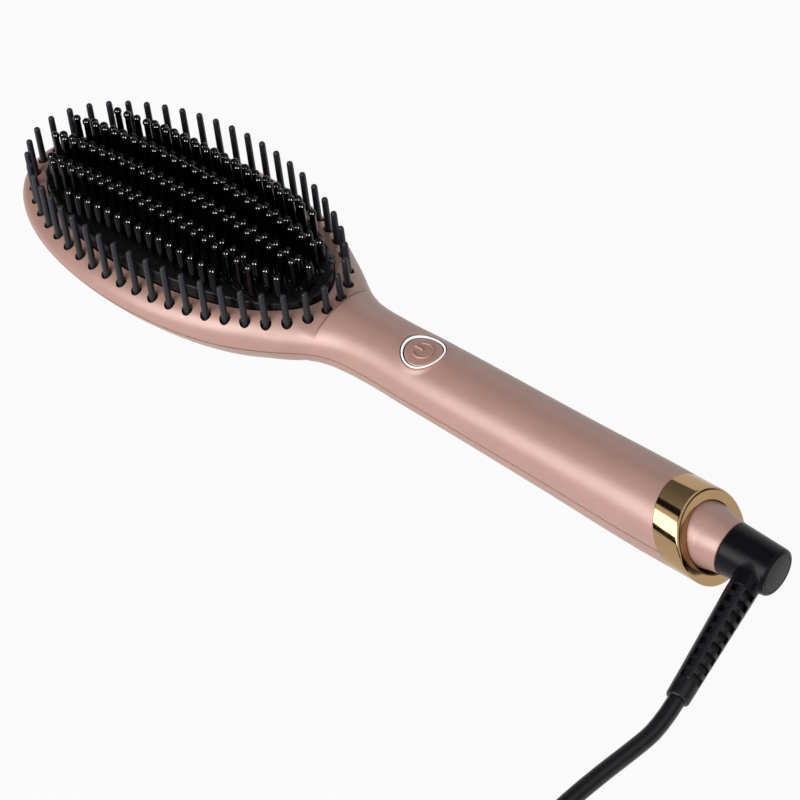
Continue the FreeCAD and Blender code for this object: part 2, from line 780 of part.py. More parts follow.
cord_radius = size("cord_diameter") / 2
coil_height = size("tie_thickness") + size("tie_play") + cord_radius
upper_height = coil_height + 2 * size("coil_pitch")
plug_height = upper_height + cord_radius + size("tie_play") + size("plug_thickness") / 2
turns = int(size("coil_half_turns"))
half_step = size("coil_pitch") / 2
outer_radius = size("coil_inner_radius") + half_step * (turns + 0.5)
inner_radius = outer_radius - half_step * turns
last_turn = 3 * turns + 2

route = [relief_end, relief_end + out * CORD_FIRST_RUN]
for step_x, step_y, at_coil in CORD_STEPS:
    height = coil_height if at_coil else cord_radius
    route.append(Vector(relief_end.x + step_x, relief_end.y + step_y, height))
cord_path, cord_radii = rounded_route(route)
cord = coded("cord_tube", tube(cord_path, cord_radius, out))
node(cord, "cord")
coil_start = route[-1]
coil_middle = Vector(coil_start.x + outer_radius, coil_start.y - size("cord_diameter"), 0)


def coil_point(turn):
    """Point of the coil after so many half turns: in, up, out, up, in, then up on to the pile."""
    first = turn - turns
    second = turn - 2 * turns - 1
    if first <= 0:
        radius = outer_radius - half_step * turn
    elif first < 1:
        radius = inner_radius - half_step * first * (1 - first)
    elif second <= 0:
        radius = inner_radius + half_step * (first - 1)
    elif second < 1:
        radius = outer_radius + half_step * second * (1 - second)
    else:
        radius = outer_radius - half_step * (second - 1)
    height = coil_height + size("coil_pitch") * (ease(first) + ease(second))
    height += (plug_height - upper_height) * ease(turn - last_turn + 1)
    angle = math.pi * (1 + turn)
    return coil_middle + Vector(radius * math.cos(angle), radius * math.sin(angle), height)


def coil_path():
    """Straight lead-in, quarter turns as pairs of arcs, straight lead-out."""
    knots = [coil_point(index / 2) for index in range(2 * last_turn + 1)]
    small = 1e-4
    headings = []
    for index in range(2 * last_turn + 1):
        turn = index / 2
        headings.append(unit(coil_point(min(turn + small, last_turn)) - coil_point(max(turn - small, 0.0))))
    headings[0] = Vector(0, -1, 0)
    headings[-1] = Vector(0, -1, 0)
    edges = [Part.LineSegment(coil_start, knots[0]).toShape()]
    for index in range(len(knots) - 1):
        edges.extend(biarc(knots[index], headings[index], knots[index + 1], headings[index + 1]))
    finish = knots[-1] + headings[-1] * size("plug_lead")
    edges.append(Part.LineSegment(knots[-1], finish).toShape())
    return Part.Wire(edges), finish


def self_gap(path):
    """Least distance between turns of a tube, measured on points along its path."""
    points = path.discretize(Distance=GAP_SPACING)
    near = 2 * size("cord_diameter")
    least = FAR
    for index, point in enumerate(points):
        for other in points[index + GAP_SKIP:]:
            if abs(point.x - other.x) < near and abs(point.y - other.y) < near:
                least = min(least, point.distanceToPoint(other))
    return least - size("cord_diameter")


winding, plug_start = coil_path()
coil = coded("coil_tube", tube(winding, cord_radius, Vector(0, -1, 0)))
node(coil, "cord_coil")

strap_inner = "(coil_inner_radius - cord_diameter / 2 - tie_play - coil_pitch / 8)"
strap_outer = "(coil_inner_radius + coil_pitch / 2 * (coil_half_turns + 0.5) + cord_diameter / 2 + tie_play)"
strap_top = "(2 * tie_play + tie_thickness + cord_diameter + 2 * coil_pitch)"


def strap_block(name, grow, low):
    """Block around the pile of turns on its -Y side."""
    item = doc.addObject("Part::Box", name)
    tie(item, Length="tie_width", Width="%s - %s + 2 * (%s)" % (strap_outer, strap_inner, grow),
        Height="%s + (%s) - (%s)" % (strap_top, grow, low))
    corner = coil_middle + Vector(-size("tie_width") / 2, -number(strap_outer) - number(grow), number(low))
    item.Placement = Placement(corner, Rotation())
    return item


strap_hollow = strap_block("strap_hollow", "0", "tie_thickness")
tie(strap_hollow, Length="tie_width * 3")
strap_hollow.Placement.Base = strap_hollow.Placement.Base - Vector(size("tie_width"), 0, 0)
node(cut("coil_tie_body", strap_block("strap_outside", "tie_thickness", "0"), strap_hollow), "coil_tie")

plug = doc.addObject("PartDesign::Body", "plug_body_solid")
plug_outline = outline_sketch(plug, "plug_outline", "XY_Plane", (
    ("-plug_tail_width / 2", "0"),
    ("plug_tail_width / 2", "0"),
    ("plug_width / 2", "-plug_length / 2"),
    ("plug_width / 2", "-plug_length"),
    ("-plug_width / 2", "-plug_length"),
    ("-plug_width / 2", "-plug_length / 2"),
))
plug_pad = plug.newObject("PartDesign::Pad", "plug_pad")
plug_pad.Profile = plug_outline
plug_pad.Midplane = True
tie(plug_pad, Length="plug_thickness")
plug.Placement = Placement(plug_start, Rotation())
node(plug, "plug_body")
prongs = []
for index, side in enumerate((-1, 1)):
    prong = doc.addObject("Part::Cylinder", "prong_%d" % index)
    tie(prong, Radius="plug_pin_radius", Height="plug_pin_length")
    tip = plug_start + Vector(side * size("plug_pin_spacing") / 2, -size("plug_length"), 0)
    prong.Placement = Placement(tip, Rotation(Vector(1, 0, 0), 90))
    prongs.append(prong)
node(group("prong_pair", *prongs), "plug_pins")

# Heated plate with the plain pins
crown = dome("crown", 0)
plate_prism = oval("plate_prism", "plate_half_length", "plate_half_width", "plate_bottom", FAR / 8)
plate_blank = common("plate_blank", plate_prism, crown)
pocket = oval("plate_pocket", "plate_half_length - plate_wall", "plate_half_width - plate_wall",
              "plate_bottom - wall", "pocket_height - plate_bottom + wall")
rail_bed = dome("rail_bed", "strip_depth")
rail_under = dome("rail_under", "strip_depth - strip_play")
rail_over = dome("rail_over", "strip_play")
strip_rows = (-3, -1, 1, 3)
grooves = []
strips = []
for index, row in enumerate(strip_rows, start=1):
    y = row * size("row_pitch")
    places = row_places(y, True)
    length = "%d * bristle_pitch" % len(places)
    start = "%s - %d * bristle_pitch / 2" % (HEAD_X, len(places))
    row_y = "%d * row_pitch" % row
    blank = box("groove_%d" % index, "%s + 2 * strip_play" % length, "strip_width + 2 * strip_play", FAR / 16,
                "%s - strip_play" % start, "pocket_height", row_y)
    grooves.append(cut("groove_cut_%d" % index, blank, rail_bed))
    rail_blank = box("rail_%d" % index, length, "strip_width", FAR / 16, start, "pocket_height", row_y)
    rail = cut("rail_body_%d" % index, common("rail_top_%d" % index, rail_blank, rail_over), rail_under)
    pins = []
    for x in places:
        top = size("dome_height") - dome_drop(x, y)
        pins.append(pin(x, y, top - size("strip_depth") / 2, top + size("ball_pin_height"),
                        size("ball_stem_radius"), size("ball_radius")))
    pin_row = coded("ball_pins_%d" % index, Part.makeCompound(pins))
    strips.append(fuse("ball_strip_body_%d" % index, rail, pin_row))
heated = []
for row in (-4, -2, 0, 2, 4):
    y = row * size("row_pitch")
    for x in row_places(y, False):
        top = size("dome_height") - dome_drop(x, y)
        heated.append(pin(x, y, top - size("strip_depth"), top + size("heated_pin_height"),
                          size("heated_pin_radius")))
stack_spots = [(sx, sy) for sx in (-1, 1) for sy in (-1, 1)]


def stack_rods(name, radius, low, length):
    """One upright rod at each screw of the heater stack."""
    rods = []
    for index, (sx, sy) in enumerate(stack_spots):
        rods.append(rod("%s_%d" % (name, index), radius, length, "%s + %d * stack_screw_x" % (HEAD_X, sx),
                        "%d * stack_screw_y" % sy, low))
    return rods


outlet_x = "(%s + plate_half_length - outlet_reach)" % HEAD_X
outlet_top = number("dome_height") - dome_drop(number(outlet_x), size("outlet_side"))
outlet_hole = rod("outlet_hole", "outlet_radius + outlet_play", FAR / 16, outlet_x, "outlet_side",
                  "%f - strip_depth" % outlet_top)
plate_cut = cut("plate_cut", plate_blank, pocket, outlet_hole, *grooves,
                *stack_rods("plate_bore", "stack_screw_radius + screw_play", "plate_bottom",
                            "pocket_height - plate_bottom + stack_screw_grip + screw_play"))
plate = fuse("heater_plate_body", plate_cut, coded("heated_pins", Part.makeCompound(heated)))
node(plate, "heater_plate")
for index, strip in enumerate(strips, start=1):
    node(strip, "ball_strip_%d" % index)
outlet = rod("outlet_plug", "outlet_radius", "strip_depth + outlet_play", outlet_x, "outlet_side",
             "%f - strip_depth + outlet_play" % outlet_top)
node(outlet, "ion_outlet")

# Outer pins on a ring below the rim
ring_top = face_drum("ring_top", "wall + frame_ring_play")
ring_under = face_drum("ring_under", "wall + frame_ring_play + frame_ring_thickness")
ring_wide = oval("ring_wide", "plate_half_length + frame_ring_outer", "plate_half_width + frame_ring_outer",
                 "parting_height", FAR / 8)
ring_narrow = oval("ring_narrow", "plate_half_length + frame_ring_inner",
                   "plate_half_width + frame_ring_inner", "parting_height", FAR / 8)
ring_plate = cut("ring_plate", common("ring_blank", ring_wide, ring_top), ring_narrow, ring_under)
outer_pins = []
apex_x = number("%s + face_apex_offset" % HEAD_X)
for spot in outer_spots:
    face = size("face_height") - (spot.x - apex_x) ** 2 / (2 * size("face_radius"))
    low = face - size("wall") - size("frame_ring_play") - size("frame_ring_thickness") / 2
    high = size("outer_tip_height") - (spot.x - number(HEAD_X)) ** 2 / (2 * size("outer_tip_radius"))
    outer_pins.append(pin(spot.x, spot.y, low, high, size("outer_pin_radius")))
outer_pin_set = coded("outer_pins", Part.makeCompound(outer_pins))
node(fuse("outer_frame_body", ring_plate, outer_pin_set), "outer_bristle_frame")

# Heater stack
heater_low = "(pocket_height - heater_thickness)"
mica_low = "(%s - mica_thickness)" % heater_low
clamp_low = "(%s - clamp_thickness)" % mica_low
tab_x = "(%s + heater_gap / 2 + heater_length)" % HEAD_X
lead_z = "(parting_height + board_thickness / 2)"
for index, side in enumerate((-1, 1), start=1):
    start = "%s + %f * (heater_gap / 2) - %f * heater_length" % (HEAD_X, side, 0.5 - 0.5 * side)
    element = box("element_%d" % index, "heater_length", "heater_width", "heater_thickness", start, heater_low)
    if side > 0:
        tabs = []
        for turn, way in enumerate((-1, 1)):
            tabs.append(box("tab_%d" % turn, "tab_thickness", "tab_width",
                            "pocket_height - %s + lead_radius" % lead_z, tab_x, "%s - lead_radius" % lead_z,
                            "%d * lead_spacing" % way))
        element = fuse("element_tabs", element, *tabs)
    node(element, "ceramic_heater_%d" % index)
mica_blank = oval("mica_blank", "plate_half_length - plate_wall - clamp_play",
                  "plate_half_width - plate_wall - clamp_play", mica_low, "mica_thickness")
tab_slot = box("tab_slot", "tab_thickness + 2 * clamp_play", "2 * lead_spacing + tab_width + clamp_play",
               "pocket_height - plate_bottom", "%s - clamp_play" % tab_x, "plate_bottom")
node(cut("mica_body", mica_blank, tab_slot,
         *stack_rods("mica_hole", "stack_screw_radius + screw_play", "plate_bottom",
                     "pocket_height - plate_bottom")),
     "insulation_sheet")
clamp_blank = oval("clamp_blank", "plate_half_length - plate_wall - clamp_play",
                   "plate_half_width - plate_wall - clamp_play", clamp_low, "clamp_thickness")
node(cut("clamp_body", clamp_blank, tab_slot,
         *stack_rods("clamp_hole", "stack_screw_radius + screw_play", "plate_bottom",
                     "pocket_height - plate_bottom")),
     "heater_clamp")
shield_blank = oval("shield_blank", "plate_half_length - shield_inset", "plate_half_width - shield_inset",
                    "shield_height", "shield_thickness")
node(cut("shield_body", shield_blank,
         *stack_rods("shield_hole", "stack_screw_radius + screw_play", "shield_height - wall", "2 * wall")),
     "heat_shield")
shield_top = "(shield_height + shield_thickness)"
spacer_walls = stack_rods("spacer_wall", "spacer_radius", shield_top, "%s - %s" % (clamp_low, shield_top))
spacer_bores = stack_rods("spacer_bore", "stack_screw_radius + screw_play", shield_top, FAR / 16)
spacers = []
for index, (spacer_wall, spacer_bore) in enumerate(zip(spacer_walls, spacer_bores)):
    spacers.append(cut("spacer_%d" % index, spacer_wall, spacer_bore))
node(group("spacer_set", *spacers), "shield_spacers")
shanks = stack_rods("stack_shank", "stack_screw_radius", "shield_height",
                    "pocket_height + stack_screw_grip - shield_height")
heads = stack_rods("stack_head", "screw_head_radius", "shield_height - screw_head_height", "screw_head_height")
stack_screws = [fuse("stack_screw_%d" % index, *pair) for index, pair in enumerate(zip(shanks, heads))]
node(group("stack_screw_set", *stack_screws), "heater_screws")
sensor_x = "(%s + heater_gap / 2)" % HEAD_X
node(rod("thermistor_body", "thermistor_radius", "thermistor_length", "%s - thermistor_length" % sensor_x, 0,
         "%s - thermistor_radius - seat_play" % clamp_low, "x"), "thermistor")
node(rod("fuse_case", "fuse_radius", "fuse_length", "%s - heater_length / 2" % HEAD_X,
         "stack_screw_y - fuse_radius * 3",
         "%s - fuse_radius - seat_play" % clamp_low, "x"), "thermal_fuse")

# Button and its light ring
cap_post = rod("cap_post", "button_radius", FAR / 16, BUTTON_X, 0, "button_floor")
cap_top = common("cap_top", cap_post, coded("cap_form", handle_solid(-size("button_sink"))))
plunger_top = "(%s + switch_height + button_travel + button_play)" % BOARD_TOP
cap_stem = rod("cap_stem", "button_stem_radius", "button_floor - %s" % plunger_top, BUTTON_X, 0, plunger_top)
node(fuse("button_cap_body", cap_top, cap_stem), "button_cap")
guide_inner = "(button_radius + button_play)"
guide_outer = "(button_radius + button_play + light_ring_width)"
guide_post = rod("guide_post", guide_outer, FAR / 16, BUTTON_X, 0, "light_ring_drop")
guide_top = common("guide_top", guide_post, coded("guide_form", handle_solid(-size("light_ring_sink"))))
guide_foot = rod("guide_foot", "%s + light_ring_flange" % guide_outer, "light_ring_foot", BUTTON_X, 0,
                 "light_ring_drop")
guide_bore = rod("guide_bore", guide_inner, FAR / 8, BUTTON_X, 0, "parting_height")
node(cut("button_light_ring_body", fuse("guide_blank", guide_top, guide_foot), guide_bore), "button_light_ring")

# Switch, board and its parts
switch = cut("switch_housing", box("switch_block", "switch_side", "switch_side", "switch_height",
                                   "%s - switch_side / 2" % BUTTON_X, BOARD_TOP),
             rod("switch_bore", "plunger_radius + button_play", FAR / 16, BUTTON_X, 0,
                 "%s + switch_height - switch_bore_depth" % BOARD_TOP))
node(switch, "switch_body")
plunger_low = "(%s + switch_height - switch_bore_depth + button_travel + button_play)" % BOARD_TOP
node(rod("plunger_post", "plunger_radius", "%s - %s" % (plunger_top, plunger_low), BUTTON_X, 0, plunger_low),
     "switch_plunger")
board_blank = box("board_blank", "board_length", "board_width", "board_thickness", BOARD_X, "parting_height")
node(cut("board_body", board_blank, *board_holes), "control_board")
node(group("board_screw_set", *board_screws), "board_screws")
lamps = []
for index, side in enumerate((-1, 1)):
    lamps.append(box("lamp_%d" % index, "led_side", "led_side", "led_height",
                     "%s - led_side / 2" % BUTTON_X, BOARD_TOP, "%d * (switch_side / 2 + led_side)" % side))
node(group("lamp_pair", *lamps), "status_leds")
part_x = "(%s + switch_side + button_radius)" % BUTTON_X
node(box("capacitor_case", "capacitor_length", "capacitor_width", "capacitor_height", part_x, BOARD_TOP),
     "film_capacitor")
triac_x = "(%s + capacitor_length + switch_side)" % part_x
node(box("triac_case", "triac_length", "triac_width", "triac_height", triac_x, BOARD_TOP), "triac")
node(rod("buzzer_case", "buzzer_radius", "buzzer_height",
         "%s + triac_length + 2 * buzzer_radius" % triac_x, 0, BOARD_TOP), "piezo_buzzer")
node(box("ioniser_case", "ioniser_length", "ioniser_width", "ioniser_height", part_x,
         "parting_height - ioniser_height"), "ioniser_module")

# Wires between heater, board and contacts
heater_wires = []
for index, way in enumerate((-1, 1)):
    heater_wires.append(rod("heater_wire_%d" % index, "lead_radius",
                            "%s - %s - tab_thickness" % (BOARD_X, tab_x), "%s + tab_thickness" % tab_x,
                            "%d * lead_spacing" % way, lead_z, "x"))
node(group("heater_wire_pair", *heater_wires), "heater_leads")
node(rod("sensor_wire", "sensor_lead_radius", "%s - %s" % (BOARD_X, sensor_x), sensor_x, 0, lead_z, "x"),
     "sensor_lead")
mains_x = "(%s + board_length)" % BOARD_X
mains_wires = []
for index, way in enumerate((-1, 1)):
    ring_x = "(%s + slip_ring_width + %d * slip_ring_pitch)" % (SPINDLE_X, (1 - way) // 2)
    mains_wires.append(rod("mains_wire_%d" % index, "lead_radius", "%s - %s" % (ring_x, mains_x), mains_x,
                           "%d * (slip_ring_radius + brush_gap + brush_thickness / 2)" % way, lead_z, "x"))
node(group("mains_wire_pair", *mains_wires), "mains_leads")

doc.recompute()
for item in doc.Objects:
    if "Invalid" in item.State or "Error" in item.State:
        raise RuntimeError("%s did not build: %s" % (item.Name, item.State))
for item in nodes:
    if item.Shape.isNull() or not item.Shape.isValid() or not item.Shape.Solids:
        raise RuntimeError("%s has no valid shape" % item.Label)

cord_section = math.pi * cord_radius ** 2
print("cord radii", ["%.0f" % radius for radius in cord_radii])
for label, path, tube_solid in (("cord", cord_path, cord), ("coil", winding, coil)):
    share = tube_solid.Shape.Volume / (cord_section * path.Length)
    print("%s length %.0f volume share %.3f" % (label, path.Length, share))
print("coil least self-gap %.2f mm" % self_gap(winding))
print("cord route", [tuple(round(value, 2) for value in point) for point in route])

os.makedirs("parts", exist_ok=True)
for item in nodes:
    item.Shape.exportStep("parts/%s.step" % item.Label)
print("%d pieces" % len(nodes))
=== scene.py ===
"""Heated styling brush: dressed pieces, finishes, floor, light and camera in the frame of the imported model."""
import logging
import math
from dataclasses import dataclass
from enum import Enum
from typing import Callable, Sequence

import bmesh
import bpy
import numpy as np
from mathutils import Matrix


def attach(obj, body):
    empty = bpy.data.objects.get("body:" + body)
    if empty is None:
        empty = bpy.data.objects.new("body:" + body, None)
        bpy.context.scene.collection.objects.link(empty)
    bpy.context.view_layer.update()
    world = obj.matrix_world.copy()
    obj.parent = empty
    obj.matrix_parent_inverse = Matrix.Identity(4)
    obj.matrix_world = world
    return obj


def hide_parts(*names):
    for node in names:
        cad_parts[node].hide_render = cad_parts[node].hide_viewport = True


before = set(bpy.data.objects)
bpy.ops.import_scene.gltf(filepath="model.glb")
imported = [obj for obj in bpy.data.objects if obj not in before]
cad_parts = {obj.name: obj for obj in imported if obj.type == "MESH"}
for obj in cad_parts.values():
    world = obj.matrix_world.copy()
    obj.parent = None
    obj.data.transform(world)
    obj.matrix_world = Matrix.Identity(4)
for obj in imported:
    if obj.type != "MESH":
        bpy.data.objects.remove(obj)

LOG = logging.getLogger("styling_brush")
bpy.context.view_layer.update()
MM = 0.001  # metres in a millimetre
WELD = 2e-7  # metres within which two points are one
AXIS_Z = 14.1  # height of the handle's axis in millimetres
SLANT = 0.4834  # tangent of the slant of the handle's end
EDGE_ANGLE = 38.0  # degrees above which an edge stays sharp
CARVED_ANGLE = 30.0  # the same on pieces that are cut or joined
NOISE = (0.3, 0.7)  # part of a noise texture's range that is used
BROAD_RATIO = 14  # fine grains in one broad patch
PATTERN_RATIO = 3  # fine grains in one thread or track
BRUSH_STRETCH = (0.12, 1.0, 1.0)  # brushed metal runs along X
RELIEF_DEPTH = 0.0002  # metres of relief at full strength
COAT_ROUGHNESS = 0.12
LEAST_ROUGHNESS = 0.03
WHITE = (1.0, 1.0, 1.0, 1.0)
Array = np.ndarray
Object = bpy.types.Object
Socket = bpy.types.NodeSocket
Pair = tuple[float, float]
Spot = tuple[float, float, float]
Colour = tuple[float, float, float, float]
Keys = tuple[Pair, ...]
HeightOf = Callable[[Array, Array, float], Array]


class Body(Enum):
    """Moving groups of the brush."""

    CASING = "casing"
    BUTTON = "button"
    SWIVEL = "swivel"


class Axis(Enum):
    """Line that a turned piece goes round."""

    ALONG = 0
    ACROSS = 1
    UPRIGHT = 2


class Pattern(Enum):
    """What a finish shows on top of its colour."""

    MOTTLE = "mottle"
    BRUSHED = "brushed"
    WEAVE = "weave"
    TRACKS = "tracks"


@dataclass(frozen=True)
class Shell:
    """Points of a mesh in millimetres, and its faces as blocks of equal corner count."""

    points: Array
    blocks: tuple[Array, ...]


def srgb(red: int, green: int, blue: int) -> Colour:
    """Linear colour of a screen colour.

    Args:
        red: Screen red, 0 to 255.
        green: Screen green, 0 to 255.
        blue: Screen blue, 0 to 255.

    Returns:
        Linear red, green, blue and an alpha of 1.
    """
    screen = np.array([red, green, blue]) / 255
    linear = np.where(screen <= 0.04045, screen / 12.92, ((screen + 0.055) / 1.055) ** 2.4)
    return tuple(float(value) for value in linear) + (1.0,)


def joined(*shells: Shell) -> Shell:
    """Several shells as one.

    Args:
        shells: Shells to put together.

    Returns:
        One shell with all points and faces.
    """
    starts = np.cumsum([0] + [len(shell.points) for shell in shells])
    blocks = tuple(block + start for shell, start in zip(shells, starts) for block in shell.blocks)
    return Shell(np.concatenate([shell.points for shell in shells]), blocks)


def lattice(points: Array, wrap_rows: bool = False, wrap_columns: bool = False) -> Shell:
    """Quads between neighbours of a grid of points.

    Args:
        points: Grid of points, rows by columns by 3.
        wrap_rows: Whether the last row joins the first.
        wrap_columns: Whether the last column joins the first.

    Returns:
        Shell of the grid.
    """
    rows, columns = points.shape[:2]
    index = np.arange(rows * columns).reshape(rows, columns)
    if wrap_rows:
        index = np.concatenate([index, index[:1]], 0)
    if wrap_columns:
        index = np.concatenate([index, index[:, :1]], 1)
    corners = (index[:-1, :-1], index[1:, :-1], index[1:, 1:], index[:-1, 1:])
    return Shell(points.reshape(-1, 3), (np.stack(corners, -1).reshape(-1, 4),))


def tube(rings: Array) -> Shell:
    """Tube of rings with a flat face at each end.

    Args:
        rings: Points, rings by corners by 3.

    Returns:
        Closed shell.
    """
    side = lattice(rings, wrap_columns=True)
    first = np.arange(rings.shape[1])[None]
    return Shell(side.points, side.blocks + (first[:, ::-1], first + (len(rings) - 1) * rings.shape[1]))


def softened(corners: Sequence[Sequence[float]], reach: float | Sequence[float], steps: int = 5,
             closed: bool = True) -> Array:
    """Outline with rounded corners: each corner becomes the parabola (1-t)^2 A + 2t(1-t) C + t^2 B.

    Args:
        corners: Corners in order.
        reach: How far from the corner its rounding starts, for all or for each.
        steps: Points on each rounding.
        closed: Whether the outline closes; an open one keeps its two ends.

    Returns:
        Points of the rounded outline.
    """
    spots = np.array(corners, float)
    cut = np.broadcast_to(np.asarray(reach, float), len(spots)).copy()
    if not closed:
        cut[[0, -1]] = 0.0
    before, after = np.roll(spots, 1, 0) - spots, np.roll(spots, -1, 0) - spots
    first = spots + before / np.linalg.norm(before, axis=1, keepdims=True) * cut[:, None]
    second = spots + after / np.linalg.norm(after, axis=1, keepdims=True) * cut[:, None]
    share = np.linspace(0, 1, steps)[None, :, None]
    curve = (1 - share) ** 2 * first[:, None] + 2 * share * (1 - share) * spots[:, None] + share ** 2 * second[:, None]
    return curve.reshape(-1, spots.shape[1])


def circle(count: int) -> Array:
    """Rows cosine and sine of a count of evenly spaced angles."""
    angle = np.linspace(0, 2 * math.pi, count, endpoint=False)
    return np.stack([np.cos(angle), np.sin(angle)])


def turned(profile: Array, axis: Axis, segments: int = 96, middle: Pair = (0.0, AXIS_Z),
           closed: bool = False) -> Shell:
    """Profile of (place along the axis, radius) carried round a line along X, Y or Z.

    Args:
        profile: Points of the profile.
        axis: Direction of the line.
        segments: Steps round the line.
        middle: The line's two other coordinates, such as Y and Z of a line along X.
        closed: Whether the profile is a loop; otherwise its ends lie on the line.

    Returns:
        Shell of the turned form.
    """
    along = np.broadcast_to(profile[:, :1], (len(profile), segments))
    first, second = profile[:, 1:] * circle(segments)[:, None]
    places = [first + middle[0], second + middle[1]]
    places.insert(axis.value, along)
    return lattice(np.stack(places, -1), wrap_rows=closed, wrap_columns=True)


def prisms(outline: Array, centres: Array, low: float, high: float) -> Shell:
    """Upright prisms: one flat outline raised from low to high at each centre.

    Args:
        outline: Points of the outline about its own centre, n by 2.
        centres: Place of each prism, m by 2.
        low: Height of the lower end.
        high: Height of the upper end.

    Returns:
        Shell of all prisms.
    """
    count, corners = len(centres), len(outline)
    flat = centres[:, None, None, :] + np.broadcast_to(outline, (2, corners, 2))[None]
    height = np.broadcast_to(np.array([low, high])[None, :, None, None], (count, 2, corners, 1))
    points = np.concatenate([flat, height], -1).reshape(-1, 3)
    base = np.arange(count)[:, None] * 2 * corners
    here, there = np.arange(corners), np.roll(np.arange(corners), -1)
    sides = np.stack([here, there, there + corners, here + corners], -1)
    walls = (base[:, :, None] + sides[None]).reshape(-1, 4)
    return Shell(points, (walls, base + here[::-1], base + here + corners))


def ellipse(length: float, width: float, count: int) -> Array:
    """Points of an ellipse about the origin, count by 2, from its half length along X and half width along Y."""
    cosine, sine = circle(count)
    return np.stack([length * cosine, width * sine], -1)


@dataclass(frozen=True)
class SteadyCurve:
    """Smooth curve through key points that never overshoots: cubic pieces with harmonic-mean slopes."""

    keys: Keys

    def __call__(self, place: Array) -> Array:
        """Height of the curve.

        Args:
            place: Places at which it is wanted.

        Returns:
            Heights, level outside the keys.
        """
        x, y = np.array(self.keys, float).T
        rate = np.diff(y) / np.diff(x)
        product = rate[:-1] * rate[1:]
        total = np.where(np.abs(rate[:-1] + rate[1:]) < 1e-9, 1.0, rate[:-1] + rate[1:])
        slope = np.concatenate([rate[:1], np.where(product > 0, 2 * product / total, 0.0), rate[-1:]])
        at = np.clip(np.asarray(place, float), x[0], x[-1])
        left = np.clip(np.searchsorted(x, at, side="right") - 1, 0, len(x) - 2)
        span = x[left + 1] - x[left]
        share = (at - x[left]) / span
        rest = 1 - share
        ends = y[left] * (1 + 2 * share) * rest ** 2 + y[left + 1] * (1 + 2 * rest) * share ** 2
        return ends + span * share * rest * (slope[left] * rest - slope[left + 1] * share)


def smooth_step(value: Array, start: float, end: float) -> Array:
    """Rise from 0 at start to 1 at end as 3t^2 - 2t^3."""
    share = np.clip((np.asarray(value, float) - start) / (end - start), 0, 1)
    return share * share * (3 - 2 * share)


def linked(name: str, data: bpy.types.ID) -> Object:
    """New object, linked to the scene.

    Args:
        name: Name of the object.
        data: Mesh, curve, lamp or camera that it shows.

    Returns:
        The object.
    """
    item = bpy.data.objects.new(name, data)
    bpy.context.scene.collection.objects.link(item)
    return item


def shade(mesh: bpy.types.Mesh, sharp: float) -> None:
    """Smooth shading with sharp edges.

    Args:
        mesh: Mesh that is shaded.
        sharp: Angle in degrees above which an edge stays sharp.
    """
    mesh.polygons.foreach_set("use_smooth", np.ones(len(mesh.polygons), bool))
    mesh.set_sharp_from_angle(angle=math.radians(sharp))
    mesh.update()


def mesh_object(name: str, shell: Shell, sharp: float = EDGE_ANGLE) -> Object:
    """Object of a shell, welded, turned outwards and shaded smooth up to an angle.

    Args:
        name: Name of the object and its mesh.
        shell: Shell in millimetres.
        sharp: Angle in degrees above which an edge stays sharp.

    Returns:
        The new object, linked to the scene.
    """
    mesh = bpy.data.meshes.new(name)
    faces = [face for block in shell.blocks for face in block.tolist()]
    mesh.from_pydata((shell.points * MM).tolist(), [], faces)
    edit = bmesh.new()
    edit.from_mesh(mesh)
    bmesh.ops.remove_doubles(edit, verts=edit.verts, dist=WELD)
    bmesh.ops.dissolve_degenerate(edit, edges=edit.edges, dist=WELD)
    bmesh.ops.recalc_face_normals(edit, faces=edit.faces)
    if edit.calc_volume(signed=True) < 0:
        bmesh.ops.reverse_faces(edit, faces=edit.faces)
    edit.to_mesh(mesh)
    edit.free()
    shade(mesh, sharp)
    return linked(name, mesh)


def carve(piece: Object, tool: Shell, operation: str = "DIFFERENCE") -> None:
    """Cut a shell out of a piece, or join it to the piece, for good.

    Args:
        piece: Object that is changed.
        tool: Closed shell that cuts or joins.
        operation: Boolean operation.
    """
    cutter = mesh_object(piece.name + "_tool", tool)
    modifier = piece.modifiers.new("carve", "BOOLEAN")
    modifier.operation = operation
    modifier.solver = "MANIFOLD"
    modifier.object = cutter
    graph = bpy.context.evaluated_depsgraph_get()
    result = bpy.data.meshes.new_from_object(piece.evaluated_get(graph))
    piece.modifiers.clear()
    spent = [piece.data, cutter.data]
    piece.data = result
    bpy.data.objects.remove(cutter)
    for mesh in spent:
        bpy.data.meshes.remove(mesh)
    result.name = piece.name
    shade(result, CARVED_ANGLE)


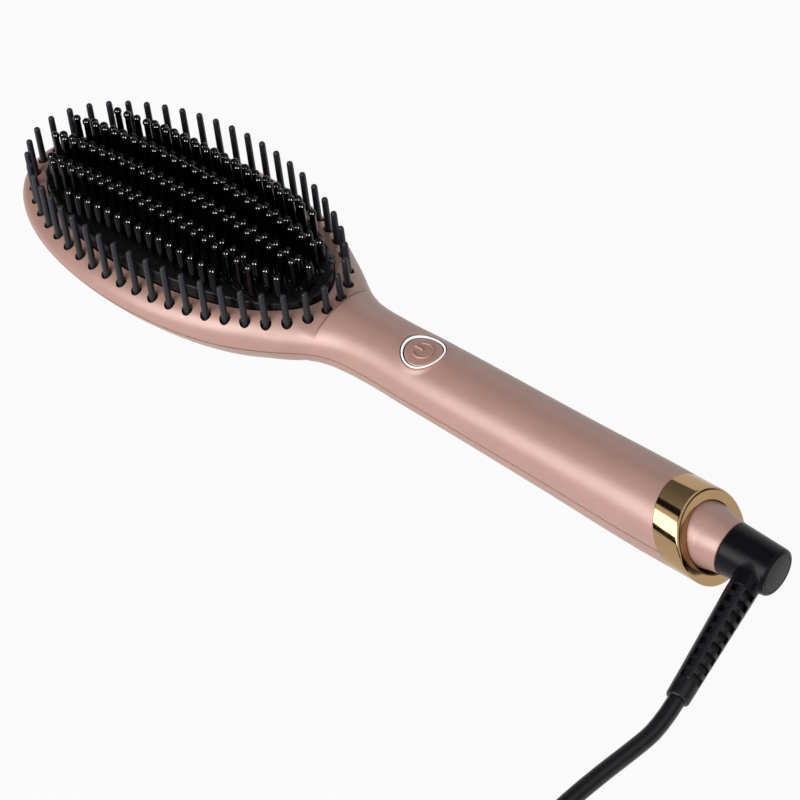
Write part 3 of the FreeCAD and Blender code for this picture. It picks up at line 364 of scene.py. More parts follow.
class Nodes:
    """Small hand for wiring a node tree."""

    def __init__(self, tree: bpy.types.NodeTree) -> None:
        """Start with an empty tree."""
        self.tree = tree
        tree.nodes.clear()

    def add(self, kind: str, inputs: dict | None = None, **settings: object) -> bpy.types.Node:
        """New node.

        Args:
            kind: Type name of the node, after ShaderNode.
            inputs: Socket name or number to a value, or to the socket that feeds it.
            settings: Properties of the node.

        Returns:
            The node.
        """
        node = self.tree.nodes.new("ShaderNode" + kind)
        for name, value in settings.items():
            setattr(node, name, value)
        for key, value in (inputs or {}).items():
            if isinstance(value, Socket):
                self.tree.links.new(value, node.inputs[key])
            else:
                node.inputs[key].default_value = value
        return node

    def ramp(self, feed: Socket, stops: Sequence[tuple[float, Sequence[float]]]) -> Socket:
        """Colour that runs through stops as the feed rises.

        Args:
            feed: Socket with a number.
            stops: Place and colour of each stop.

        Returns:
            Colour socket.
        """
        node = self.add("ValToRGB", {"Fac": feed})
        elements = node.color_ramp.elements
        while len(elements) < len(stops):
            elements.new(1.0)
        for element, (place, colour) in zip(elements, stops):
            element.position = place
            element.color = colour
        return node.outputs["Color"]

    def spread(self, feed: Socket, low: float, high: float) -> Socket:
        """Number from low to high as the feed crosses the used range of a noise."""
        node = self.add("MapRange", {"Value": feed, "From Min": NOISE[0], "From Max": NOISE[1], "To Min": low,
                                     "To Max": high})
        return node.outputs["Result"]


def blank_material(name: str) -> tuple[bpy.types.Material, Nodes]:
    """New material with an empty node tree.

    Args:
        name: Name of the material.

    Returns:
        The material, and the hand that wires it.
    """
    made = bpy.data.materials.new(name)
    made.use_nodes = True
    return made, Nodes(made.node_tree)


@dataclass(frozen=True)
class Finish:
    """Surface of a piece: colour, gloss, fine mottling and fine relief, all on Object coordinates in metres."""

    name: str
    colour: Colour
    roughness: float
    metallic: float = 0.0
    pattern: Pattern = Pattern.MOTTLE
    tone: float = 0.06
    grain: float = 900.0
    relief: float = 0.05
    gloss_play: float = 0.05
    coat: float = 0.0
    glow: float = 0.0
    sheen: float = 0.0
    mirror: float = 0.5

    def shades(self) -> list[tuple[float, Colour]]:
        """Darker and lighter stop of the colour.

        Returns:
            Stops for a colour ramp.
        """
        base = np.array(self.colour[:3])
        pair = base * (1 - self.tone), np.minimum(base * (1 + self.tone), 1.0)
        return [(place, (*colour.tolist(), 1.0)) for place, colour in zip(NOISE, pair)]

    def figure(self, nodes: Nodes) -> tuple[Socket, Socket]:
        """Pattern of the finish.

        Args:
            nodes: Tree of the material.

        Returns:
            Number that steers the colour and number that steers the relief.
        """
        place = nodes.add("TexCoord").outputs["Object"]
        if self.pattern is Pattern.BRUSHED:
            place = nodes.add("Mapping", {"Vector": place, "Scale": BRUSH_STRETCH}).outputs["Vector"]
        fine = nodes.add("TexNoise", {"Vector": place, "Scale": self.grain, "Detail": 3.0}).outputs["Fac"]
        broad = nodes.add("TexNoise", {"Vector": place, "Scale": self.grain / BROAD_RATIO, "Detail": 2.0})
        thread = self.grain / PATTERN_RATIO
        if self.pattern is Pattern.WEAVE:
            wave = nodes.add("TexWave", {"Vector": place, "Scale": thread, "Distortion": 1.5},
                             bands_direction="DIAGONAL")
            return broad.outputs["Fac"], wave.outputs["Fac"]
        if self.pattern is Pattern.TRACKS:
            brick = nodes.add("TexBrick", {"Vector": place, "Scale": thread, "Mortar Size": 0.06})
            return brick.outputs["Fac"], fine
        return broad.outputs["Fac"], fine

    def material(self) -> bpy.types.Material:
        """Material of the finish, made once.

        Returns:
            The material.
        """
        known = bpy.data.materials.get(self.name)
        if known:
            return known
        made, nodes = blank_material(self.name)
        tone, bumps = self.figure(nodes)
        bump = nodes.add("Bump", {"Height": bumps, "Strength": self.relief, "Distance": RELIEF_DEPTH})
        gloss = nodes.spread(bumps, max(self.roughness - self.gloss_play, LEAST_ROUGHNESS),
                             self.roughness + self.gloss_play)
        surface = nodes.add("BsdfPrincipled", {
            "Base Color": nodes.ramp(tone, self.shades()), "Metallic": self.metallic,
            "Normal": bump.outputs["Normal"], "Roughness": gloss, "Coat Weight": self.coat,
            "Coat Roughness": COAT_ROUGHNESS, "Sheen Weight": self.sheen, "Specular IOR Level": self.mirror,
            "Emission Color": self.colour, "Emission Strength": self.glow})
        nodes.add("OutputMaterial", {"Surface": surface.outputs["BSDF"]})
        return made


ROSE = Finish("rose_satin", srgb(191, 149, 136), 0.4, 0.12, tone=0.03, grain=1500.0, relief=0.03, mirror=1.0)
ROSE_KEY = Finish("rose_key", srgb(190, 148, 135), 0.4, 0.2, tone=0.03, grain=1500.0, relief=0.03, mirror=0.7)
GOLD = Finish("polished_gold", srgb(172, 142, 104), 0.1, 1.0, Pattern.BRUSHED, tone=0.05, grain=1400.0,
              relief=0.02, gloss_play=0.03)
BLACK_COAT = Finish("black_ceramic_coat", srgb(5, 5, 8), 0.28, tone=0.25, grain=2200.0, relief=0.05, mirror=0.2)
BLACK_PIN = Finish("black_pin_glaze", srgb(3, 3, 4), 0.1, tone=0.2, grain=1800.0, relief=0.02, mirror=0.22)
GREY_PIN = Finish("grey_pin_satin", srgb(40, 42, 48), 0.34, tone=0.12, grain=2000.0, relief=0.05, mirror=0.3)
OUTLET = Finish("outlet_grey_green", srgb(88, 96, 90), 0.4, tone=0.12, grain=2500.0, relief=0.08)
CONNECTOR = Finish("satin_black", srgb(10, 10, 16), 0.32, tone=0.15, grain=2600.0, relief=0.08, mirror=0.14)
RUBBER = Finish("black_rubber", srgb(15, 15, 21), 0.36, tone=0.12, grain=2400.0, relief=0.015, gloss_play=0.02,
                mirror=0.34)
# The glow is painted light on the light ring: it is made to shine so that it reads white. The status LEDs share this
# finish.
LIGHT = Finish("light_guide_white", srgb(246, 247, 250), 0.35, tone=0.02, grain=1200.0, relief=0.03, glow=0.5)
# Painted shade: near-black lips that stand in for the shadowed gaps round the light ring.
GAP_SHADE = Finish("painted_gap_shade", srgb(30, 22, 20), 0.6, tone=0.15, grain=1800.0, mirror=0.15)
STRAP = Finish("strap_weave", srgb(34, 34, 36), 0.85, pattern=Pattern.WEAVE, tone=0.2, grain=2600.0, relief=0.6,
               sheen=0.3)
NICKEL = Finish("nickel", srgb(196, 192, 184), 0.22, 1.0, Pattern.BRUSHED, grain=1800.0, relief=0.03)
STEEL = Finish("sheet_steel", srgb(170, 170, 172), 0.34, 1.0, Pattern.BRUSHED, tone=0.08, grain=900.0)
COPPER = Finish("contact_copper", srgb(190, 122, 82), 0.3, 1.0, Pattern.BRUSHED, tone=0.08, grain=1500.0)
CERAMIC = Finish("white_ceramic", srgb(226, 222, 212), 0.55, tone=0.05, grain=1300.0, relief=0.15)
MICA = Finish("mica_sheet", srgb(196, 180, 140), 0.3, tone=0.18, grain=500.0, relief=0.1, coat=0.3)
EPOXY = Finish("epoxy_bead", srgb(60, 40, 30), 0.3, tone=0.15, grain=1600.0, coat=0.3)
BLACK_PART = Finish("moulded_black", srgb(30, 30, 32), 0.5, tone=0.15, grain=2400.0, relief=0.1)
WHITE_PART = Finish("moulded_white", srgb(228, 228, 224), 0.5, tone=0.04, grain=2000.0, relief=0.08)
BOARD = Finish("board_green", srgb(34, 96, 60), 0.35, pattern=Pattern.TRACKS, tone=0.3, grain=900.0, coat=0.3)
WIRE = Finish("wire_jacket", srgb(190, 44, 40), 0.45, tone=0.1, grain=1800.0, relief=0.06)


def dress(piece: Object, finish: Finish, body: Body, slot: str, *nodes: str) -> Object:
    """Give a piece its finish and its body, and hide the CAD nodes that it stands for.

    Args:
        piece: The piece.
        finish: Its finish.
        body: Body that it moves with.
        slot: Material slot of the record; not used.
        nodes: CAD nodes that it replaces.

    Returns:
        The piece.
    """
    piece.data.materials.clear()
    piece.data.materials.append(finish.material())
    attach(piece, body.value)
    if nodes:
        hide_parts(*nodes)
    count = len(piece.data.polygons) if piece.type == "MESH" else len(piece.data.splines[0].points)
    LOG.info("%s: %d faces or points, on %s", piece.name, count, body.value)
    return piece


@dataclass
class Studio:
    """Camera, lamps, white surroundings, pale floor, and matt screens that shape the reflections."""

    camera_place: Spot = (551.662, -527.904, 784.748)
    azimuth: float = 46.107
    elevation: float = 46.022
    roll: float = -7.278
    lens: float = 153.66
    sensor: float = 36.0
    clip: Pair = (0.05, 20.0)
    soft_light: float = 0.32
    floor_half: float = 3000.0
    floor_drop: float = 0.05
    floor_grey: float = 0.4
    floor_white: float = 0.95
    key: tuple[Spot, float, Pair, float] = ((-0.05, -0.855, 0.5), 1.7, (1.8, 1.0), 28.0)
    glint: tuple[float, Pair, float] = (1.4, (0.5, 0.5), 90.0)
    glint_sides: tuple[tuple[str, Spot], ...] = (
        ("glint_left", (-0.05, -0.95, 0.25)), ("glint_right", (0.9, -0.34, 0.3)))
    screens: tuple[tuple[str, Spot, Spot, Spot, float], ...] = (
        ("overhead_screen", (-800.0, 730.0, 1500.0), (1300.0, 0.0, 0.0), (0.0, 1070.0, 0.0), 0.85),
        ("dark_strip", (-800.0, -600.0, 1500.0), (1300.0, 0.0, 0.0), (0.0, 260.0, 0.0), 0.03),
        ("low_screen", (0.0, -900.0, 115.0), (1300.0, 0.0, 0.0), (0.0, 0.0, 115.0), 0.03),
        ("end_screen", (1500.0, 900.0, 350.0), (-450.0, 750.0, 0.0), (0.0, 0.0, 450.0), 0.12),
        ("side_screen", (-900.0, -150.0, 400.0), (0.0, 700.0, 0.0), (0.0, 0.0, 400.0), 0.04))

    def axes(self) -> Array:
        """Right, up and back of the camera, from its azimuth, elevation and roll.

        Returns:
            Rows right, up and back.
        """
        a, e, r = np.radians([self.azimuth, self.elevation, self.roll])
        back = np.array([math.sin(a) * math.cos(e), -math.cos(a) * math.cos(e), math.sin(e)])
        right = np.array([math.cos(a), math.sin(a), 0.0])
        up = np.cross(back, right)
        return np.stack([right * math.cos(r) + up * math.sin(r), up * math.cos(r) - right * math.sin(r), back])

    def camera(self) -> None:
        """Camera at the measured place and angle."""
        data = bpy.data.cameras.new("view")
        data.lens = self.lens
        data.sensor_width = self.sensor
        data.clip_start, data.clip_end = self.clip
        item = linked("view", data)
        turn = Matrix(self.axes().T.tolist()).to_4x4()
        item.matrix_world = Matrix.Translation([value * MM for value in self.camera_place]) @ turn
        bpy.context.scene.camera = item

    def lamp(self, name: str, toward: Spot, distance: float, size: Pair, watts: float) -> Object:
        """Soft lamp that looks at the middle of the brush.

        Args:
            name: Name of the lamp.
            toward: Direction to the lamp.
            distance: Metres from the brush.
            size: Width and height in metres.
            watts: Power.

        Returns:
            The lamp.
        """
        data = bpy.data.lights.new(name, "AREA")
        data.shape = "RECTANGLE"
        data.size, data.size_y = size
        data.energy = watts
        item = linked(name, data)
        back = np.array(toward, float) / np.linalg.norm(toward)
        side = np.cross([0.0, 0.0, 1.0], back)
        side /= np.linalg.norm(side)
        turn = Matrix(np.stack([side, np.cross(back, side), back], -1).tolist()).to_4x4()
        item.matrix_world = Matrix.Translation((back * distance).tolist()) @ turn
        return item

    def glints(self, pins: Sequence[Object]) -> None:
        """Two small lamps for the glints on the pins alone.

        Args:
            pins: Pieces that the lamps light.
        """
        lit = bpy.data.collections.new("glinting_pins")
        for pin in pins:
            lit.objects.link(pin)
        for name, toward in self.glint_sides:
            lamp = self.lamp(name, toward, *self.glint)
            lamp.visible_diffuse = False
            lamp.light_linking.receiver_collection = lit

    def seen_directly(self, nodes: Nodes) -> Socket:
        """What the eye sees straight, in a mirror or through glass.

        Args:
            nodes: Tree of the material or world.

        Returns:
            Socket with 1 for such a ray and 0 for any other.
        """
        path = nodes.add("LightPath").outputs
        first = nodes.add("Math", {0: path["Is Camera Ray"], 1: path["Is Glossy Ray"]}, operation="MAXIMUM")
        both = nodes.add("Math", {0: first.outputs[0], 1: path["Is Transmission Ray"]}, operation="MAXIMUM")
        return both.outputs[0]

    def surroundings(self) -> None:
        """White to the eye, and a softer light on the brush."""
        world = bpy.data.worlds.new("surroundings")
        world.use_nodes = True
        bpy.context.scene.world = world
        nodes = Nodes(world.node_tree)
        soft = nodes.add("Background", {"Color": WHITE, "Strength": self.soft_light})
        white = nodes.add("Background", {"Color": WHITE, "Strength": 1.0})
        mix = nodes.add("MixShader", {"Fac": self.seen_directly(nodes), 1: soft.outputs[0], 2: white.outputs[0]})
        nodes.add("OutputWorld", {"Surface": mix.outputs[0]})

    def floor(self) -> None:
        """Pale floor that keeps a faint shadow."""
        line = np.linspace(-self.floor_half, self.floor_half, 5)
        x, y = np.meshgrid(line, line, indexing="ij")
        item = mesh_object("floor", lattice(np.stack([x, y, np.full_like(x, -self.floor_drop)], -1)))
        made, nodes = blank_material("pale_floor")
        matt = nodes.add("BsdfDiffuse", {"Color": (*[self.floor_grey] * 3, 1.0)})
        white = nodes.add("Emission", {"Color": WHITE, "Strength": 1.0})
        part = nodes.add("Math", {0: self.seen_directly(nodes), 1: self.floor_white}, operation="MULTIPLY")
        mix = nodes.add("MixShader", {"Fac": part.outputs[0], 1: matt.outputs[0], 2: white.outputs[0]})
        nodes.add("OutputMaterial", {"Surface": mix.outputs[0]})
        item.data.materials.append(made)

    def screen(self, name: str, middle: Spot, side: Spot, rise: Spot, grey: float) -> None:
        """Matt studio screen that the lens doesn't see: middle + s side + t rise, for s and t from -1 to 1.

        Args:
            name: Name of the screen.
            middle: Its middle in millimetres.
            side: Half its width.
            rise: Half its height.
            grey: How light it is.
        """
        share = np.linspace(-1, 1, 3)
        grid = np.array(middle) + share[:, None, None] * np.array(side) + share[None, :, None] * np.array(rise)
        item = mesh_object(name, lattice(grid))
        made, nodes = blank_material(name)
        matt = nodes.add("BsdfDiffuse", {"Color": (grey, grey, grey, 1.0)})
        nodes.add("OutputMaterial", {"Surface": matt.outputs[0]})
        item.data.materials.append(made)
        item.visible_camera = False

    def build(self) -> None:
        """Set up the whole studio, apart from the glints."""
        bpy.context.scene.view_settings.view_transform = "Standard"
        self.camera()
        self.surroundings()
        self.floor()
        for screen in self.screens:
            self.screen(*screen)
        self.lamp("key", *self.key)
        LOG.info("studio set up")


@dataclass
class Casing:
    """Front and rear cover of the head, neck and handle."""

    head_x: float = -86.2
    half_length: float = 69.8
    half_width: float = 36.5
    halvings: int = 34
    least_left: float = 0.01
    near: float = 0.05
    join_x: float = -36.0
    join_steps: Spot = (-10.0, -5.0, 0.0)
    arch_x: Spot = (-42.0, -36.0, -30.0)
    shoulder: Pair = (-40.0, -8.0)
    wall: float = 1.8
    least_rounding: float = 0.5
    groove: float = 0.18
    end_x: float = 119.56
    lean_x: float = 80.0
    crease_x: float = -19.2
    crease_run: float = 18.0
    crease_step: float = 0.05
    crease_depth: float = 1.3
    crease_groove: Spot = (1.1, 0.2, 0.3)
    crease_half: float = 13.5
    crease_rows: tuple[float, ...] = (
        -1.5, -0.8, -0.4, -0.06, 0.0, 0.05, 0.12, 0.2, 0.3, 0.4, 0.48, 0.55, 0.65, 1.0, 1.4)
    crease_clear: float = 1.6
    button_x: float = 16.2
    lip_radius: float = 7.7
    lip_rise: float = 0.45
    lip_half: float = 0.75
    columns: int = 81
    tip_length: float = 16.0
    tip_rows: int = 34
    row_ends: Spot = (-45.0, 6.0, 27.0)
    row_steps: Spot = (1.5, 0.75, 0.5)
    grip_rows: int = 40
    plate_opening: Pair = (60.7, 27.4)
    button_opening: float = 7.45
    hole_radius: float = 1.9
    cut: Pair = (17.5, 45.0)
    rim_rounding: float = 6.5
    rim_crown: float = 400.0
    back_rounding: float = 20.0
    back_power: Pair = (1.11, 0.89)
    breadth_keys: Keys = (
        (-31.0, 22.7), (-26.0, 19.7), (-21.5, 16.9), (-17.0, 14.7), (-12.0, 13.2), (-6.0, 12.55), (2.0, 12.4),
        (16.0, 12.9), (72.0, 13.4), (112.0, 14.05), (150.0, 14.05))
    belt_keys: Keys = (
        (-160.0, 17.6), (-110.0, 17.6), (-75.0, 17.2), (-45.0, 16.2), (-20.0, 16.0), (17.0, 15.9), (72.0, 14.9),
        (112.0, 14.1), (150.0, 14.1))
    top_keys: Keys = (
        (-24.5, 26.22), (-19.2, 26.3), (-12.0, 26.4), (-3.0, 26.7), (17.0, 26.9), (72.0, 27.5), (112.0, 28.15),
        (150.0, 28.15))
    floor_keys: Keys = (
        (-160.0, 0.0), (-36.0, 0.0), (-34.0, 0.05), (-28.0, 1.2), (-22.0, 4.0), (-14.0, 5.2), (-3.0, 5.3),
        (17.0, 5.1), (72.0, 2.3), (112.0, 0.05), (150.0, 0.05))
    face_keys: Spot = (26.6, -56.0, 1666.0)

    def head_breadth(self, x: Array) -> Array:
        """Half width of the head's ellipse: half_width * sqrt(1 - ((x - head_x) / half_length)^2)."""
        return self.half_width * np.sqrt(np.clip(1 - ((x - self.head_x) / self.half_length) ** 2, 0, 1))

    def breadth(self, x: Array) -> Array:
        """Half width of the casing: the head's ellipse, then the smooth curve of neck and handle.

        Args:
            x: Places along the brush.

        Returns:
            Half widths.
        """
        before = self.join_x + np.array(self.join_steps)
        keys = tuple(zip(before.tolist(), self.head_breadth(before).tolist())) + self.breadth_keys
        return np.where(x <= self.join_x, self.head_breadth(x), SteadyCurve(keys)(x))

    def slope(self, x: Array) -> Array:
        """How fast the half width grows along the brush."""
        return (self.breadth(x + self.near) - self.breadth(x - self.near)) / (2 * self.near)

    def face(self, x: Array) -> Array:
        """Arch of the head's face: height - (x - apex)^2 / curve."""
        height, apex, curve = self.face_keys
        return height - (x - apex) ** 2 / curve

    def top(self, x: Array) -> Array:
        """Height of the middle line: the arched face, then the smooth curve of the handle.

        Args:
            x: Places along the brush.

        Returns:
            Heights.
        """
        before = np.array(self.arch_x)
        keys = tuple(zip(before.tolist(), self.face(before).tolist())) + self.top_keys
        return np.where(x <= before[-1], self.face(x), SteadyCurve(keys)(x))

    def belt(self, x: Array) -> Array:
        """Height of the parting line."""
        return SteadyCurve(self.belt_keys)(x)

    def inset(self, x: Array, y: Array) -> Array:
        """How far a point lies inside the outline.

        On the head it is the i with ((x - head_x) / (half_length - i))^2 + (y / (half_width - i))^2 = 1, found by
        halving; on the handle it is the distance to the edge, (breadth - |y|) / sqrt(1 + slope^2).

        Args:
            x: Places along the brush.
            y: Places across it.

        Returns:
            Insets in millimetres.
        """
        low, high = np.zeros_like(y), np.full_like(y, self.half_width - self.least_left)
        for _ in range(self.halvings):
            middle = (low + high) / 2
            reach = ((x - self.head_x) / (self.half_length - middle)) ** 2 + (y / (self.half_width - middle)) ** 2
            low, high = np.where(reach > 1, low, middle), np.where(reach > 1, middle, high)
        beside = np.maximum(self.breadth(x) - np.abs(y), 0) / np.sqrt(1 + self.slope(x) ** 2)
        share = smooth_step(x, self.arch_x[0], self.arch_x[-1])
        return np.where(share < 1, low * (1 - share), 0) + beside * share

    def arch(self, x: Array, y: Array, rounding: float, shrink: float) -> tuple[Array, Array]:
        """1 - (1 - u)^2 with u = inset / rounding; on the handle the rounding grows to the half width.

        Args:
            x: Places along the brush.
            y: Places across it.
            rounding: Width of the rounded edge on the head.
            shrink: Wall thickness to stay inside, 0 for the outside.

        Returns:
            That rise, and the handle's share in each place.
        """
        share = smooth_step(x, *self.shoulder)
        width = rounding + (self.breadth(x) - rounding) * share
        inside = np.maximum(self.inset(x, y) - shrink, 0)
        u = np.clip(inside / np.maximum(width - shrink, self.least_rounding), 0, 1)
        return 1 - (1 - u) ** 2, share

    def skin(self, x: Array, y: Array, shrink: float = 0.0) -> Array:
        """Plain height of the front cover: belt + (top - y^2 / crown - belt) * sqrt(arch).

        Args:
            x: Places along the brush.
            y: Places across it.
            shrink: Wall thickness to stay inside, 0 for the outside.

        Returns:
            Heights.
        """
        rise, share = self.arch(x, y, self.rim_rounding, shrink)
        belt = self.belt(x)
        top = self.top(x) - y ** 2 / self.rim_crown * (1 - share)
        return belt + (top - shrink - belt) * np.sqrt(rise)

    def upper(self, x: Array, y: Array, shrink: float) -> Array:
        """Height of the front cover: its skin, with the crease and the lip of the button on the outside.

        The crease sinks by (depth * run + deep * exp(-((x - crease_x - shift) / half)^6)) * (1 - (y / crease_half)^2),
        and the lip rises by lip_rise * exp(-((r - lip_radius) / lip_half)^2), with r the distance to the button.

        Args:
            x: Places along the brush.
            y: Places across it.
            shrink: Wall thickness to stay inside, 0 for the outside.

        Returns:
            Heights.
        """
        height = self.skin(x, y, shrink)
        if shrink:
            return height
        run = smooth_step(x, self.crease_x - self.crease_run, self.crease_x) * (x < self.crease_x - self.crease_step)
        deep, half, shift = self.crease_groove
        groove = deep * np.exp(-((x - self.crease_x - shift) / half) ** 6)
        height -= (self.crease_depth * run + groove) * np.clip(1 - (y / self.crease_half) ** 2, 0, 1)
        away = np.hypot(x - self.button_x, y)
        return height + self.lip_rise * np.exp(-((away - self.lip_radius) / self.lip_half) ** 2)

    def lower(self, x: Array, y: Array, shrink: float) -> Array:
        """Height of the rear cover: belt - (belt - floor) * arch^(1 / q), q from 1.11 on the head to 2 on the handle.

        Args:
            x: Places along the brush.
            y: Places across it.
            shrink: Wall thickness to stay inside, 0 for the outside.

        Returns:
            Heights.
        """
        rise, share = self.arch(x, y, self.back_rounding, shrink)
        belt, floor = self.belt(x), SteadyCurve(self.floor_keys)(x)
        first, growth = self.back_power
        return belt - (belt - floor - shrink) * rise ** (1 / (first + growth * share))

    def stations(self) -> Array:
        """Places of the cross rows: close at the tip, the shoulder, the crease and the button.

        Returns:
            Rising places along X.
        """
        swing = np.linspace(0, math.acos(1 - self.tip_length / self.half_length), self.tip_rows)
        tip = self.head_x - self.half_length * np.cos(swing)
        head_end, neck_end, button_end = self.row_ends
        head_step, neck_step, button_step = self.row_steps
        head = np.arange(tip[-1] + head_step, head_end, head_step)
        neck = np.arange(head_end, neck_end, neck_step)
        neck = neck[np.abs(neck - self.crease_x) > self.crease_clear]
        crease = self.crease_x + np.array(self.crease_rows)
        button = np.arange(neck_end, button_end, button_step)
        grip = np.linspace(button_end, self.end_x, self.grip_rows)
        return np.unique(np.concatenate([tip, head, neck, crease, button, grip]))

    def surface(self, height: HeightOf, shrink: float) -> Array:
        """Grid of one face of a cover: rows across at each station, y = sin(pi t / 2) * breadth, end slanted.

        Args:
            height: Height function of the cover.
            shrink: Wall thickness to stay inside, 0 for the outside.

        Returns:
            Points, stations by columns by 3.
        """
        row = self.stations()[:, None]
        spread = np.sin(np.linspace(-1, 1, self.columns) * math.pi / 2)[None, :]
        ahead = np.clip((self.head_x - row) / self.half_length, 0, 1)
        narrow = np.where(row < self.head_x, self.breadth(row) / self.half_width, np.sqrt(1 + self.slope(row) ** 2))
        x = np.broadcast_to(row, (len(row), self.columns))
        y = spread * (self.breadth(row) - shrink * narrow)
        z = height(x, y, shrink)
        lean = smooth_step(x, self.lean_x, self.end_x) * SLANT * (z - AXIS_Z)
        return np.stack([x + shrink * ahead - lean, y, z], -1)

    def cover(self, name: str, height: HeightOf, side: float) -> Object:
        """Closed cover: outer and inner grid joined at the parting and at the slanted end.

        Args:
            name: Name of the piece.
            height: Height function of the cover.
            side: +1 above the parting, -1 below it.

        Returns:
            The piece.
        """
        outer, inner = self.surface(height, 0.0), self.surface(height, self.wall)
        edge = self.belt(self.stations())[:, None] + side * self.groove
        for grid in (outer, inner):
            grid[..., 2] = np.maximum(grid[..., 2], edge) if side > 0 else np.minimum(grid[..., 2], edge)
        loop = np.concatenate([outer, inner[:, ::-1]], 1)
        return mesh_object(name, joined(lattice(loop, wrap_columns=True), lattice(np.stack([outer[-1], inner[-1]]))))

    def build(self) -> None:
        """Build and dress both covers."""
        front = self.cover("front_cover_shell", self.upper, 1.0)
        opening = prisms(ellipse(*self.plate_opening, 220), np.array([[self.head_x, 0.0]]), *self.cut)
        round_hole = ellipse(self.button_opening, self.button_opening, 96)
        hole = prisms(round_hole, np.array([[self.button_x, 0.0]]), *self.cut)
        pins = prisms(ellipse(self.hole_radius, self.hole_radius, 28), Bristles().outer_feet(), *self.cut)
        carve(front, joined(opening, hole, pins))
        dress(front, ROSE, Body.CASING, "rose_casing", "front_cover")
        rear = self.cover("rear_cover_shell", self.lower, -1.0)
        dress(rear, ROSE, Body.CASING, "rose_casing", "rear_cover")


@dataclass
class Bristles:
    """Heated plate, its plain pins, the rails with ball pins, the outer pins and the ion outlet."""

    head_x: float = -86.2
    plate: Pair = (60.3, 27.0)
    plate_low: float = 17.0
    plate_rows: int = 24
    crown: float = 33.6
    crown_x: float = -82.2
    crown_radii: Pair = (282.0, 95.0)
    crown_share: float = 0.94
    rim: Keys = ((0.965, 0.05), (0.985, 0.22), (0.995, 0.5), (1.0, 1.0), (1.0, 99.0), (0.0, 99.0))
    pitch: float = 4.62
    row_pitch: float = 5.115
    margin: float = 3.5
    pin_radius: float = 1.5
    pin_height: float = 8.9
    pin_sink: float = 1.0
    pin_flare: float = 1.06
    stem_radius: float = 1.1
    stem_flare: float = 1.08
    ball_radius: float = 1.4
    ball_height: float = 13.2
    ball_sink: float = 0.6
    ball_angles: tuple[float, ...] = (-5.0, 30.0, 62.0, 90.0)
    dome_angles: tuple[float, ...] = (0.0, 35.0, 65.0, 90.0)
    rail_half: float = 1.5
    rail_flat: float = 0.86
    rail_rise: float = 0.18
    rail_edge: float = 0.15
    rail_sink: float = 1.0
    rail_rows: int = 70
    outer_offset: float = 4.8
    outer_count: int = 46
    outer_radius: float = 1.1
    outer_flare: float = 1.1
    outer_tip: float = 40.8
    outer_curve: float = 824.0
    outer_rise: float = 1.0
    frame_low: float = 17.6
    frame_thick: float = 2.4
    frame_half: float = 1.1
    frame_corner: float = 0.3
    outlet: Pair = (-33.4, 12.8)
    outlet_profile: Keys = (
        (-1.2, 0.0), (-1.2, 1.6), (-0.1, 1.6), (0.12, 1.35), (0.1, 1.0), (-0.35, 0.8), (-0.4, 0.0))
    pin_segments: int = 10
    oval_segments: int = 160

    def dome(self, x: Array, y: Array) -> Array:
        """Height of the plate's crown: crown - (x - crown_x)^2 / 2R - y^2 / 2r."""
        return self.crown - (x - self.crown_x) ** 2 / (2 * self.crown_radii[0]) - y ** 2 / (2 * self.crown_radii[1])

    def row(self, number: int) -> Array:
        """Feet of one row of pins at the pin pitch, centred on the head.

        Args:
            number: Row number; odd rows are set half a pitch over.

        Returns:
            Places, n by 2.
        """
        y = number * self.row_pitch
        reach = self.plate[0] * math.sqrt(1 - (y / self.plate[1]) ** 2) - self.margin
        count = 2 * int(reach / self.pitch + 0.5) if number % 2 else 2 * int(reach / self.pitch) + 1
        x = self.head_x + self.pitch * (np.arange(count) - (count - 1) / 2)
        return np.stack([x, np.full(count, y)], -1)

    def outer_feet(self) -> Array:
        """Feet of the outer pins, evenly spaced along their oval.

        Returns:
            Places, n by 2.
        """
        length, width = self.plate[0] + self.outer_offset, self.plate[1] + self.outer_offset
        angle = np.linspace(0, 2 * math.pi, 4001)
        path = np.stack([length * np.cos(angle), width * np.sin(angle)], -1)
        run = np.concatenate([[0.0], np.cumsum(np.linalg.norm(np.diff(path, axis=0), axis=1))])
        at = np.interp((np.arange(self.outer_count) + 0.5) / self.outer_count * run[-1], run, angle)
        return np.stack([self.head_x + length * np.cos(at), width * np.sin(at)], -1)

    def planted(self, feet: Array, low: Array, high: Array, rings: Sequence[tuple[float, float, bool]]) -> Shell:
        """Pins turned from one profile, each between its own foot and tip height.

        Args:
            feet: Places, n by 2.
            low: Height of each foot.
            high: Height of each tip.
            rings: Radius, distance from the tip (or from the foot) and whether it counts from the foot.

        Returns:
            Shell of all pins, closed below.
        """
        radius, drop, from_foot = (np.array(column) for column in zip(*rings))
        cosine, sine = circle(self.pin_segments)
        z = np.where(from_foot, low[:, None] + drop, high[:, None] - drop)[:, :, None]
        x = feet[:, 0, None, None] + radius[None, :, None] * cosine
        y = feet[:, 1, None, None] + radius[None, :, None] * sine
        points = np.stack([x, y, np.broadcast_to(z, x.shape)], -1)
        index = np.arange(points[..., 0].size).reshape(points.shape[:3])
        around = np.roll(index, -1, 2)
        walls = np.stack([index[:, :-1], around[:, :-1], around[:, 1:], index[:, 1:]], -1).reshape(-1, 4)
        return Shell(points.reshape(-1, 3), (walls, index[:, 0, ::-1]))

    def tip_rings(self, radius: float, foot: float, angles: Sequence[float]) -> list[tuple[float, float, bool]]:
        """Rings of a pin: its foot, then a tip of radius r cos(a) at r (1 - sin(a)) below the top, a in degrees."""
        tip = [(radius * math.cos(a), radius * (1 - math.sin(a)), False) for a in np.radians(angles).tolist()]
        return [(foot, 0.0, True)] + tip

